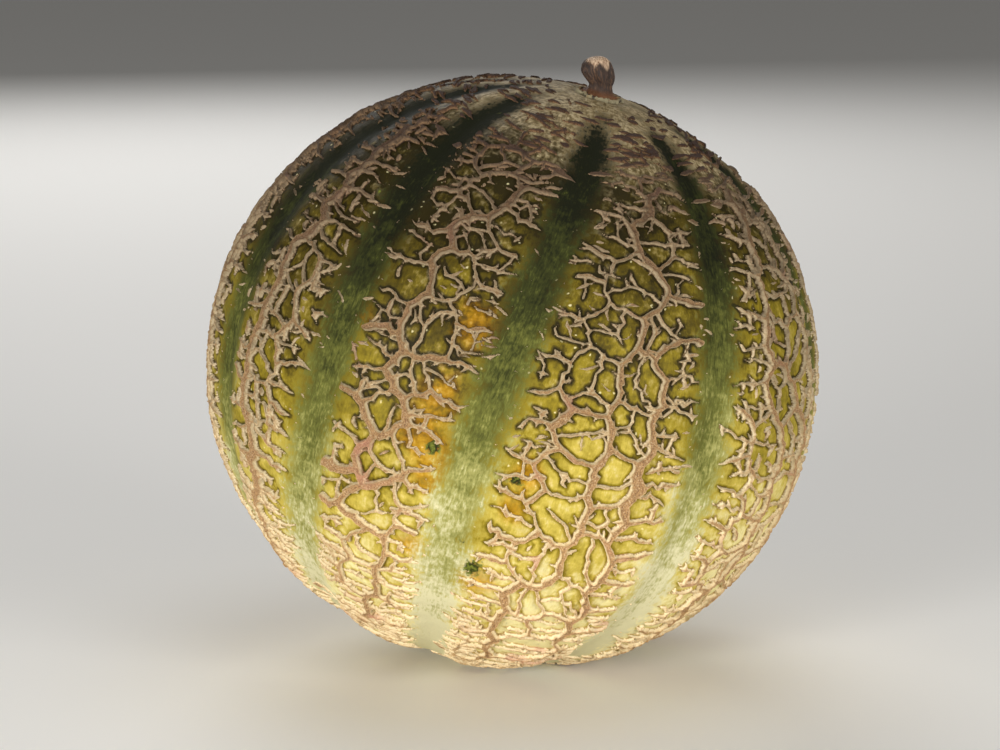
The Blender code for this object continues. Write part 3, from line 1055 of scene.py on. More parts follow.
    def draw_fine_dashes(self) -> None:
        """Scatter thin short dashes in the cells above the equator, where the net is finest."""
        habit = self.habit
        low, high = habit.fine_height_mm
        for _ in range(self.fine_dashes):
            lat = self.rng.uniform(*habit.fine_lat)
            place = np.array((self.rng.uniform(-0.86, 0.86) * float(self.half_mm(lat)), lat * self.radius_mm))
            angle = self.rng.normal(0.0, 0.7)
            arm = self.rng.uniform(*habit.fine_mm) * pointing(angle)
            half = self.rng.uniform(*habit.fine_half_mm)
            line = self.crooked(place - arm, place + arm, 0.16)
            self.add(line, (0.10, half, 0.9 * half, 0.10), (low, high, high, low), 0.20, loose=True)

    def make_field(self) -> None:
        """Work out, on the rib's grid, how deep each place lies inside the net's edge."""
        top = self.reach_lat * self.radius_mm
        widest = float(np.max(self.half_mm(np.linspace(-0.6, 0.6, 25))))
        self.xs = np.arange(-widest, widest + self.step_mm, self.step_mm)
        self.ys = np.arange(-top, top + self.step_mm, self.step_mm)
        grid_x, grid_y = np.meshgrid(self.xs, self.ys)
        flat = np.stack((grid_x.ravel(), grid_y.ravel()), axis=1)
        warp_x = 0.20 * grain(flat, 1.6, 21 + self.index) + 0.035 * grain(flat, 0.7, 22)
        warp_y = 0.20 * grain(flat, 1.6, 41 + self.index) + 0.035 * grain(flat, 0.7, 42)
        grid_x = grid_x + warp_x.reshape(grid_x.shape)
        grid_y = grid_y + warp_y.reshape(grid_y.shape)
        total = np.full(grid_x.shape, math.exp(-self.far_mm / self.blend_mm))
        weighted = np.zeros(grid_x.shape)
        firm = total.copy()
        for stroke in self.strokes:
            pad = self.far_mm + float(stroke.half_width.max())
            low, high = stroke.line.min(axis=0) - pad, stroke.line.max(axis=0) + pad
            across = slice(*np.searchsorted(self.xs, (low[0], high[0])))
            along = slice(*np.searchsorted(self.ys, (low[1], high[1])))
            if across.start >= across.stop or along.start >= along.stop:
                continue
            depth, height = self.stroke_field(stroke, grid_x[along, across], grid_y[along, across])
            share = np.exp(depth / self.blend_mm)
            total[along, across] += share
            weighted[along, across] += share * height
            if not stroke.loose:
                firm[along, across] += share
        self.depth = self.blend_mm * np.log(total)
        self.net_depth = self.blend_mm * np.log(firm)
        self.crest = weighted / total

    def stroke_field(
        self, stroke: Stroke, grid_x: np.ndarray, grid_y: np.ndarray
    ) -> tuple[np.ndarray, np.ndarray]:
        """How deep each place lies inside one stroke's edge, and the stroke's height there.

        Args:
            stroke: The ridge.
            grid_x: Places across the rib.
            grid_y: Places along the rib.

        Returns:
            Depths, negative outside, and heights.
        """
        depth = np.full(grid_x.shape, -self.far_mm)
        height = np.zeros(grid_x.shape)
        for at in range(len(stroke.line) - 1):
            start, span = stroke.line[at], stroke.line[at + 1] - stroke.line[at]
            length_sq = max(float(span @ span), 1e-9)
            off_x, off_y = grid_x - start[0], grid_y - start[1]
            share = np.clip((off_x * span[0] + off_y * span[1]) / length_sq, 0.0, 1.0)
            away = np.hypot(off_x - share * span[0], off_y - share * span[1])
            half = stroke.half_width[at] + (stroke.half_width[at + 1] - stroke.half_width[at]) * share
            deeper = half - away > depth
            depth = np.where(deeper, half - away, depth)
            rise = stroke.height[at] + (stroke.height[at + 1] - stroke.height[at]) * share
            height = np.where(deeper, rise, height)
        return depth, height

    def depth_at(self, flat: np.ndarray) -> np.ndarray:
        """Depth inside the firm net's edge at any flat places, read between grid points.

        Args:
            flat: Flat places in rows.

        Returns:
            Depths in millimetres, negative outside the net.
        """
        col = np.clip((flat[:, 0] - self.xs[0]) / self.step_mm, 0.0, len(self.xs) - 1.001)
        row = np.clip((flat[:, 1] - self.ys[0]) / self.step_mm, 0.0, len(self.ys) - 1.001)
        c, r = col.astype(int), row.astype(int)
        u, v = col - c, row - r
        low = self.net_depth[r, c] * (1.0 - u) + self.net_depth[r, c + 1] * u
        high = self.net_depth[r + 1, c] * (1.0 - u) + self.net_depth[r + 1, c + 1] * u
        return low * (1.0 - v) + high * v


@dataclass
class CorkSheet:
    """Sheet of raised cork over one rib, cut from its field."""

    rib: RibSheet
    edge_mm: float = 0.38
    lip_mm: float = 0.22
    groove_mm: float = 0.26
    foot_drop_mm: float = 0.28
    sunk_mm: float = 1.00
    snap_mm: float = 0.12
    foot_mm: float = -0.06
    rim_mm: float = -0.30
    groove_reach_mm: float = 0.32
    pit_mm: float = 0.10
    pit_start_mm: Range = (0.2, 0.6)
    crease_angle: float = math.radians(52.0)
    stem_end_lat: Range = (math.radians(46.0), math.radians(74.0))

    def surface(self, flat: np.ndarray, depth: np.ndarray, crest: np.ndarray) -> np.ndarray:
        """Height of the cork over the plump skin, in millimetres.

        Args:
            flat: Flat places in rows.
            depth: Depths inside the net's edge.
            crest: Heights of the ridges.

        Returns:
            Heights, below the skin outside the net.
        """
        rough = 1.0 + 0.20 * grain(flat, 1.0, 51) + 0.12 * grain(flat, 2.8, 52)
        rise = smooth_step(depth, -0.10, self.lip_mm)
        groove = self.groove_mm * smooth_step(depth, self.lip_mm, self.lip_mm + self.groove_reach_mm)
        pits = smooth_step(depth, *self.pit_start_mm) * self.pit_mm * grain(flat, 0.6, 53)
        sink = self.foot_drop_mm * smooth_step(-depth, -0.16, -self.foot_mm)
        sink += (self.sunk_mm - self.foot_drop_mm) * smooth_step(-depth, -self.foot_mm, 0.24)
        return crest * rough * rise - groove * crest + pits - sink

    def build(self) -> bpy.types.Object:
        """Make the sheet's mesh, with its edges snapped to the ridges' feet and lips.

        Returns:
            The sheet as an object.
        """
        rib = self.rib
        depth = rib.depth
        rows, cols = depth.shape
        slope_y, slope_x = np.gradient(depth, rib.step_mm)
        steep = np.maximum(np.hypot(slope_x, slope_y), 0.35)
        move = np.zeros(depth.shape)
        for level in (self.rim_mm, self.foot_mm, self.lip_mm):
            off = level - depth
            move = np.where(np.abs(off) < self.snap_mm, off, move)
        grid_x, grid_y = np.meshgrid(rib.xs, rib.ys)
        limit = 0.45 * rib.step_mm
        grid_x = grid_x + np.clip(move * slope_x / steep ** 2, -limit, limit)
        grid_y = grid_y + np.clip(move * slope_y / steep ** 2, -limit, limit)
        depth = depth + move

        kept = rib.depth > -self.edge_mm
        quad = kept[:-1, :-1] & kept[1:, :-1] & kept[:-1, 1:] & kept[1:, 1:]
        closed = np.zeros((rows, cols), bool)
        closed[1:-1, 1:-1] = quad[:-1, :-1] & quad[1:, :-1] & quad[:-1, 1:] & quad[1:, 1:]
        row, col = np.nonzero(quad)
        first = row * cols + col
        corners = np.stack((first, first + 1, first + cols + 1, first + cols), axis=1)
        flat_depth = depth.ravel()
        ends = flat_depth[corners]
        other = np.abs(ends[:, 0] - ends[:, 2]) > np.abs(ends[:, 1] - ends[:, 3])
        corners[other] = np.roll(corners[other], -1, axis=1)
        triangles = np.concatenate((corners[:, (0, 1, 2)], corners[:, (0, 2, 3)]))
        used, renumbered = np.unique(triangles, return_inverse=True)
        triangles = renumbered.reshape(-1, 3)

        flat = np.stack((grid_x.ravel()[used], grid_y.ravel()[used]), axis=1)
        height = self.surface(flat, flat_depth[used], rib.crest.ravel()[used])
        height = np.where(closed.ravel()[used], height, -self.sunk_mm)
        lat, lon = rib.to_fruit(flat)
        points = rib.form.place(lat, lon, height * MM)
        points[:, 2] = np.maximum(points[:, 2], 0.0)
        sheet = mesh_object(f"cork_net_{rib.index + 1:02d}", points, triangles)
        sheet.data.set_sharp_from_angle(angle=self.crease_angle)
        write_attribute(sheet, "depth_mm", flat_depth[used])
        write_attribute(sheet, "stem_end", smooth_step(lat, *self.stem_end_lat))
        self.lay_out(sheet, flat, triangles)
        return sheet

    def lay_out(self, sheet: bpy.types.Object, flat: np.ndarray, triangles: np.ndarray) -> None:
        """Give the sheet a map in which its two halves lie side by side, true to scale.

        Args:
            sheet: The sheet.
            flat: Flat places of its points.
            triangles: Its triangles.
        """
        half_span = self.rib.reach_lat * self.rib.radius_mm
        upper = flat[triangles].mean(axis=1)[:, 1] > 0.0
        spots = flat[triangles].reshape(-1, 2)
        upper = np.repeat(upper, 3)
        across = (spots[:, 0] + np.where(upper, 3.0, 1.0) * half_span * 0.25) / half_span
        along = (spots[:, 1] + np.where(upper, 0.0, half_span)) / half_span
        layer = sheet.data.uv_layers.new(name="OFBake")
        layer.data.foreach_set("uv", np.stack((across, along), axis=1).ravel().astype(np.float32))


def mesh_object(name: str, points: np.ndarray, faces: np.ndarray) -> bpy.types.Object:
    """Object of points and faces, shaded smooth and linked to the scene.

    Args:
        name: Name of the object and its mesh.
        points: Points in rows.
        faces: Point numbers of each face in rows.

    Returns:
        The new object.
    """
    mesh = bpy.data.meshes.new(name)
    mesh.vertices.add(len(points))
    mesh.vertices.foreach_set("co", points.astype(np.float32).ravel())
    mesh.loops.add(faces.size)
    mesh.loops.foreach_set("vertex_index", faces.astype(np.int32).ravel())
    mesh.polygons.add(len(faces))
    mesh.polygons.foreach_set("loop_start", np.arange(0, faces.size, faces.shape[1], dtype=np.int32))
    mesh.update(calc_edges=True)
    mesh.validate()
    mesh.shade_smooth()
    made = bpy.data.objects.new(name, mesh)
    bpy.context.scene.collection.objects.link(made)
    return made


def write_attribute(made: bpy.types.Object, name: str, values: np.ndarray) -> None:
    """Store one number, or one vector, for each point of an object's mesh.

    Args:
        made: The object.
        name: Name of the attribute.
        values: Numbers, or vectors in rows.
    """
    kind, key = ("FLOAT_VECTOR", "vector") if np.ndim(values) == 2 else ("FLOAT", "value")
    layer = made.data.attributes.new(name, kind, "POINT")
    layer.data.foreach_set(key, np.ascontiguousarray(values, np.float32).ravel())


def bands(sides: int, rings: int, first: int) -> list[np.ndarray]:
    """Triangles between each ring of points and the next one.

    Args:
        sides: Points in a ring.
        rings: How many rings.
        first: Number of the first ring's first point.

    Returns:
        Point numbers of the triangles, two arrays for each band.
    """
    ring = np.arange(sides)
    after = np.roll(ring, -1)
    found = []
    for row in range(rings - 1):
        here = first + row * sides
        beyond = here + sides
        found.append(np.stack((here + ring, beyond + ring, beyond + after), axis=1))
        found.append(np.stack((here + ring, beyond + after, here + after), axis=1))
    return found


@dataclass(frozen=True)
class Patch:
    """Round patch on the rind: its place in degrees and its radius in millimetres."""

    lat: float
    lon: float
    radius_mm: float

    def cover(self, unit: np.ndarray, radius_mm: float) -> np.ndarray:
        """How strongly the patch covers each direction.

        Args:
            unit: Unit vectors in rows.
            radius_mm: Radius of the fruit.

        Returns:
            Cover from 0 to 1.
        """
        here = np.array(direction(math.radians(self.lat), math.radians(self.lon)))
        away = np.linalg.norm(unit - here, axis=1) * radius_mm
        return np.exp(-((away / self.radius_mm) ** 2))


RIPE_PATCHES = (
    Patch(-1.0, -14.0, 4.5),
    Patch(7.0, -11.0, 6.0),
    Patch(-3.0, -8.5, 6.0),
    Patch(-9.0, -9.0, 4.0),
    Patch(-23.0, -9.5, 4.5),
    Patch(-27.0, 4.5, 6.0),
    Patch(-2.0, 7.5, 4.5),
    Patch(-9.0, 7.0, 4.0),
    Patch(21.0, -9.0, 7.0),
    Patch(15.0, -31.0, 4.0),
)
SPREAD_PATCHES = (
    Patch(-24.0, 4.0, 2.9),
    Patch(-3.5, 6.0, 2.0),
    Patch(-2.0, -9.5, 2.1),
    Patch(-19.0, 0.0, 1.4),
)


@dataclass
class Rind:
    """Closed waxy skin of the whole fruit, plump between the ridges of the net."""

    form: FruitForm
    ribs: list[RibSheet]
    divisions: int = 124
    plump_mm: float = 0.40
    plump_reach_mm: float = 1.40
    lump_mm: float = 0.10
    lump_start_mm: Range = (8.0, 40.0)
    under_net_mm: float = 0.08
    seat_radius_mm: float = 5.2
    seat_depth_mm: float = 0.5
    seat_ease_mm: float = 2.5
    rest_lift: float = 0.00012
    furrow_spread: float = 1.16
    plump_fade: Range = (math.radians(50.0), math.radians(74.0))
    furrow_fade: Range = (math.radians(66.0), math.radians(82.0))
    stem_end_lat: Range = (math.radians(48.0), math.radians(80.0))

    def ball(self) -> tuple[np.ndarray, np.ndarray]:
        """Evenly divided unit ball, from a cube whose faces are cut in a grid.

        Returns:
            Unit vectors, and the four point numbers of each face.
        """
        cube = bmesh.new()
        bmesh.ops.create_cube(cube, size=2.0)
        bmesh.ops.subdivide_edges(cube, edges=cube.edges, cuts=self.divisions, use_grid_fill=True)
        cube.verts.index_update()
        points = np.array([vert.co for vert in cube.verts])
        faces = np.array([[vert.index for vert in face.verts] for face in cube.faces])
        cube.free()
        points = np.tan(points * math.pi / 4.0)
        return points / np.linalg.norm(points, axis=1)[:, None], faces

    def build(self) -> bpy.types.Object:
        """Make the skin with the measures that its finish reads.

        Returns:
            The skin as an object.
        """
        unit, faces = self.ball()
        lat = np.arcsin(np.clip(unit[:, 2], -1.0, 1.0))
        lon = np.arctan2(unit[:, 0], -unit[:, 1])
        depth = np.full(len(unit), -self.ribs[0].far_mm)
        for rib in self.ribs:
            flat = rib.to_flat(unit)
            mine = rib.inside(flat) & (np.abs(lat) < rib.reach_lat)
            depth[mine] = rib.depth_at(flat[mine])
        clear = np.maximum(-depth, 0.0)
        plump = self.plump_mm * (1.0 - np.exp(-clear / self.plump_reach_mm)) - self.plump_mm
        plump *= 1.0 - 0.5 * smooth_step(np.abs(lat), *self.plump_fade)
        plump -= self.under_net_mm * smooth_step(depth, 0.0, 0.5)
        spots = unit * self.form.equator_radius / MM
        lumps = self.lump_mm * grain(spots, 5.0, 61)
        lumps += 0.4 * self.lump_mm * grain(spots, 1.9, 62)
        from_pole = (0.5 * np.pi - np.abs(lat)) * self.form.equator_radius / MM
        lumps *= smooth_step(from_pole, *self.lump_start_mm)
        seat_rim = self.seat_radius_mm + self.seat_ease_mm
        seat = self.seat_depth_mm * (1.0 - smooth_step(from_pole, self.seat_radius_mm, seat_rim))
        points = self.form.place(lat, lon, (plump + lumps - seat) * MM)
        points[:, 2] = np.maximum(points[:, 2], self.rest_lift)
        skin = mesh_object("rind_skin", points, faces)
        self.measure(skin, unit, lat, lon, clear)
        return skin

    def measure(
        self, skin: bpy.types.Object, unit: np.ndarray, lat: np.ndarray, lon: np.ndarray, clear: np.ndarray
    ) -> None:
        """Write what the finish needs to know of each point.

        Args:
            skin: The skin.
            unit: Directions of its points.
            lat: Latitudes in radians.
            lon: Longitudes in radians.
            clear: Distances from the net in millimetres.
        """
        radius_mm = self.form.equator_radius / MM
        away, _ = self.form.nearest_furrow(lat, lon)
        fade = 1.0 - smooth_step(np.abs(lat), *self.furrow_fade)
        half = self.furrow_spread * self.form.furrow_half_width * (0.50 + 0.50 * np.cos(lat))
        write_attribute(skin, "furrow", (1.0 - np.abs(away) / (2.0 * half)) * (0.35 + 0.65 * fade))
        write_attribute(skin, "clear_mm", clear)
        write_attribute(skin, "rib_place", np.stack((away / MM, lat * radius_mm, 3.0 * unit[:, 0]), axis=1))
        ripe = sum(patch.cover(unit, radius_mm) for patch in RIPE_PATCHES)
        write_attribute(skin, "ripe", np.clip(ripe, 0.0, 1.0))
        nick = sum(patch.cover(unit, radius_mm) for patch in SPREAD_PATCHES)
        write_attribute(skin, "nick", np.clip(nick, 0.0, 1.0))
        write_attribute(skin, "stem_end", smooth_step(lat, *self.stem_end_lat))


@dataclass
class StemStub:
    """Dry stub of the stem: flared foot, waist, swollen head and rounded cut top."""

    form: FruitForm
    profile_mm: tuple[tuple[float, float], ...] = (
        (0.0, 9.4),
        (1.2, 9.32),
        (2.2, 9.0),
        (3.0, 8.4),
        (3.5, 7.5),
        (3.75, 6.3),
        (3.65, 5.0),
        (3.2, 3.8),
        (2.75, 2.8),
        (2.7, 2.0),
        (3.1, 1.1),
        (4.2, 0.3),
        (4.45, 0.0),
    )
    sides: int = 96
    rings: int = 66
    flutes: int = 5
    flute_depth: float = 0.12
    bend: float = math.radians(24.0)
    head_shift_mm: float = 1.5
    seat_depth: float = 0.0004
    gap: float = 0.00022
    fibre_height_mm: float = 0.13
    foot_height_mm: float = 1.1
    foot_rough_mm: float = 0.25
    rounding_passes: int = 8

    def build(self) -> bpy.types.Object:
        """Make the stub on the fruit's axis.

        Returns:
            The stub as an object.
        """
        outline = np.array(self.profile_mm)
        steps = np.concatenate(((0.0,), np.cumsum(np.hypot(*np.diff(outline, axis=0).T))))
        even = np.linspace(0.0, steps[-1], self.rings + 1)[1:]
        radius = self.eased(even, steps, outline[:, 0])
        height = self.eased(even, steps, outline[:, 1])
        angle = np.linspace(0.0, math.tau, self.sides, endpoint=False)
        tall = outline[0, 1]
        share = (height / tall)[:, None]
        wave = np.cos(self.flutes * angle + 0.5 * share) + 0.35 * np.cos(2.0 * self.flutes * angle + 1.3)
        fluted = 1.0 + self.flute_depth * wave * np.sin(np.pi * np.clip(share, 0.0, 1.0)) * 0.8
        fibre_place = np.stack(
            np.broadcast_arrays(9.0 * np.cos(angle), 9.0 * np.sin(angle), 0.9 * share * tall), axis=-1
        )
        fibres = grain(fibre_place.reshape(-1, 3), 0.8, 71).reshape(len(even), self.sides)
        rough = radius[:, None] * fluted
        rough = rough + self.fibre_height_mm * fibres * smooth_step(radius[:, None], 0.5, 2.4)
        foot = np.exp(-((height / self.foot_height_mm) ** 2))[:, None]
        foot_place = np.stack((13.0 * np.cos(angle), 13.0 * np.sin(angle)), axis=1)
        rough = rough + foot * self.foot_rough_mm * grain(foot_place, 1.0, 72)
        local = np.stack(
            np.broadcast_arrays(rough * np.cos(angle), rough * np.sin(angle), height[:, None]), axis=-1
        )
        local = np.vstack(((0.0, 0.0, tall), local.reshape(-1, 3), (0.0, 0.0, 0.0)))
        points = self.bent(local, tall)
        base = self.form.pole_radius - self.seat_depth + self.gap
        stub = mesh_object("stub_wood", self.form.along_axis(points * MM + (0.0, 0.0, base)), self.faces())
        write_attribute(stub, "stub_place", local)
        cut = np.hypot(local[:, 0] - 0.7, local[:, 1] + 0.5) + 0.6 * grain(local, 1.2, 73)
        upper = local[:, 2] + 0.7 * grain(local, 0.9, 74)
        cut = smooth_step(upper, 0.68 * tall, 0.80 * tall) * (1.0 - smooth_step(cut, 2.5, 3.1))
        write_attribute(stub, "cut", cut)
        return stub

    def eased(self, even: np.ndarray, steps: np.ndarray, values: np.ndarray) -> np.ndarray:
        """Values along the outline, rounded so that its corners don't show.

        Args:
            even: Where to read.
            steps: Where the values stand.
            values: The outline's values.

        Returns:
            Rounded values.
        """
        read = np.interp(even, steps, values)
        for _ in range(self.rounding_passes):
            inner = 0.25 * read[:-2] + 0.5 * read[1:-1] + 0.25 * read[2:]
            read = np.concatenate((read[:1], inner, read[-1:]))
        return read

    def bent(self, local: np.ndarray, tall: float) -> np.ndarray:
        """Straight stub bent back upright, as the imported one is.

        Args:
            local: Points of the straight stub in millimetres.
            tall: Height of the stub in millimetres.

        Returns:
            Points of the bent stub in millimetres.
        """
        angle = self.bend * local[:, 2] / tall
        radius = tall / self.bend
        shift = self.head_shift_mm * smooth_step(local[:, 2], 0.12 * tall, 0.80 * tall)
        bent_x = local[:, 0] * np.cos(angle) - radius * (1.0 - np.cos(angle)) - shift
        bent_z = local[:, 0] * np.sin(angle) + radius * np.sin(angle) - 0.32 * shift
        return np.stack((bent_x, local[:, 1], bent_z), axis=1)

    def faces(self) -> np.ndarray:
        """Triangles of the stub: its side, and a fan at each end."""
        ring = np.arange(self.sides)
        after = np.roll(ring, -1)
        top = np.stack((np.zeros_like(ring), 1 + ring, 1 + after), axis=1)
        last = 1 + (self.rings - 1) * self.sides
        centre = np.full_like(ring, last + self.sides)
        bottom = np.stack((last + after, last + ring, centre), axis=1)
        return np.concatenate((top, *bands(self.sides, self.rings, 1), bottom))


@dataclass
class Collar:
    """Cracked cork at one end of the fruit's axis, round the stem's foot or over the blossom scar."""

    form: FruitForm
    name: str
    end: float
    inner_mm: float
    outer_mm: float
    height_mm: float
    seed: int
    sides: int = 170
    rings: int = 32
    rag_mm: Range = (1.3, 0.9)
    rim_place: float = 0.62
    rim_width: float = 0.2
    tear_place: float = 0.50
    tear_width: float = 0.09
    crack_start: Range = (0.22, 0.50)
    fibre_height_mm: float = 0.24
    grit_height_mm: float = 0.14

    def build(self) -> bpy.types.Object:
        """Make the collar as a ragged sheet whose rims are sunk in the skin.

        Returns:
            The collar as an object.
        """
        angle = np.linspace(0.0, math.tau, self.sides, endpoint=False)
        share = np.linspace(0.0, 1.0, self.rings)[:, None]
        wheel = np.stack((np.cos(angle), np.sin(angle)), axis=1)
        ragged = self.rag_mm[0] * grain(wheel * 2.6, 1.0, self.seed)
        ragged = ragged + self.rag_mm[1] * grain(wheel * 8.0, 1.0, self.seed + 1)
        radius = self.inner_mm + (self.outer_mm + ragged - self.inner_mm) * share
        flat = np.stack((radius * np.cos(angle), radius * np.sin(angle)), axis=-1).reshape(-1, 2)
        share = np.broadcast_to(share, radius.shape).ravel()
        spoke = np.broadcast_to(angle, radius.shape).ravel()
        fibre = np.stack((9.0 * np.cos(spoke), 9.0 * np.sin(spoke), 0.5 * radius.ravel()), axis=1)
        rim = np.exp(-(((share - self.rim_place) / self.rim_width) ** 2))
        crack = grain(fibre * (1.0, 1.0, 2.2), 1.5, self.seed + 2) + 0.5 * grain(flat, 0.6, self.seed + 5)
        crack = smooth_step(crack, *self.crack_start)
        off_tear = share - self.tear_place - 0.10 * grain(fibre, 2.4, self.seed + 7)
        torn = np.exp(-((off_tear / self.tear_width) ** 2))
        crack = np.maximum(crack, torn * smooth_step(grain(fibre, 5.0, self.seed + 8), -0.25, 0.05))
        height = self.height_mm * (0.55 + 0.45 * rim) * (1.0 - 0.85 * crack)
        rough = self.fibre_height_mm * grain(fibre, 0.55, self.seed + 3)
        height += rough + self.grit_height_mm * grain(flat, 0.7, self.seed + 4)
        sunk = smooth_step(share, 0.80, 1.0) + (1.0 - smooth_step(share, 0.0, 0.08))
        height -= 1.7 * self.height_mm * sunk
        lat = self.end * (0.5 * np.pi - radius.ravel() * MM / self.form.equator_radius)
        points = self.form.place(lat, spoke, height * MM)
        collar = mesh_object(self.name, points, self.faces())
        write_attribute(collar, "share", share)
        write_attribute(collar, "crack", crack)
        write_attribute(collar, "fibre", grain(fibre * (1.0, 1.0, 0.4), 0.6, self.seed + 6))
        return collar

    def faces(self) -> np.ndarray:
        """Triangles of the sheet, facing out at either end."""
        faces = np.concatenate(bands(self.sides, self.rings, 0))
        return faces if self.end > 0.0 else faces[:, ::-1]


def linear(code: str) -> tuple[float, float, float, float]:
    """Linear colour of an sRGB hex code, with full alpha.

    Args:
        code: Six hex digits after a hash sign.

    Returns:
        Red, green, blue and alpha.
    """
    parts = [int(code[at : at + 2], 16) / 255.0 for at in (1, 3, 5)]
    return (*(p / 12.92 if p <= 0.04045 else ((p + 0.055) / 1.055) ** 2.4 for p in parts), 1.0)


def add_node(
    tree: Tree,
    kind: str,
    inputs: dict | None = None,
    stops: Stops = (),
    out: int | str = 0,
    **settings: object,
) -> Socket:
    """Add a node with its settings, values and links.

    Args:
        tree: Node tree of the material.
        kind: Type name of the node without its ShaderNode start.
        inputs: Values or sockets for its inputs, by name or number.
        stops: Places and hex colours, where the node is a colour ramp.
        out: Which output to return.
        **settings: Properties of the node.

    Returns:
        The chosen output of the new node.
    """
    made = tree.nodes.new("ShaderNode" + kind)
    for name, value in settings.items():
        setattr(made, name, value)
    for name, value in (inputs or {}).items():
        if isinstance(value, Socket):
            tree.links.new(value, made.inputs[name])
        else:
            made.inputs[name].default_value = value
    if stops:
        ramp = made.color_ramp.elements
        while len(ramp) < len(stops):
            ramp.new(1.0)
        for element, (place, code) in zip(ramp, stops):
            element.position = place
            element.color = linear(code)
    return made.outputs[out]


def weighed(tree: Tree, start: float, *terms: tuple[Socket, float]) -> Socket:
    """Sum of a start value and of each term times its weight.

    Args:
        tree: Node tree of the material.
        start: Value before the terms.
        *terms: Sockets with their weights.

    Returns:
        Socket of the sum.
    """
    total = start
    for socket, weight in terms:
        total = add_node(tree, "Math", {0: socket, 1: weight, 2: total}, operation="MULTIPLY_ADD")
    return total


def per_metre(size_mm: float) -> float:
    """Scale that makes a pattern's blots as large as a size in millimetres."""
    return 1.0 / (size_mm * MM)


def new_material(name: str) -> tuple[bpy.types.Material, Tree, bpy.types.Node]:
    """Empty material with its Principled shader linked to the output.

    Args:
        name: Name of the material.

    Returns:
        The material, its tree and its shader.
    """
    material = bpy.data.materials.new(name)
    material.use_nodes = True
    tree = material.node_tree
    return material, tree, tree.nodes["Principled BSDF"]


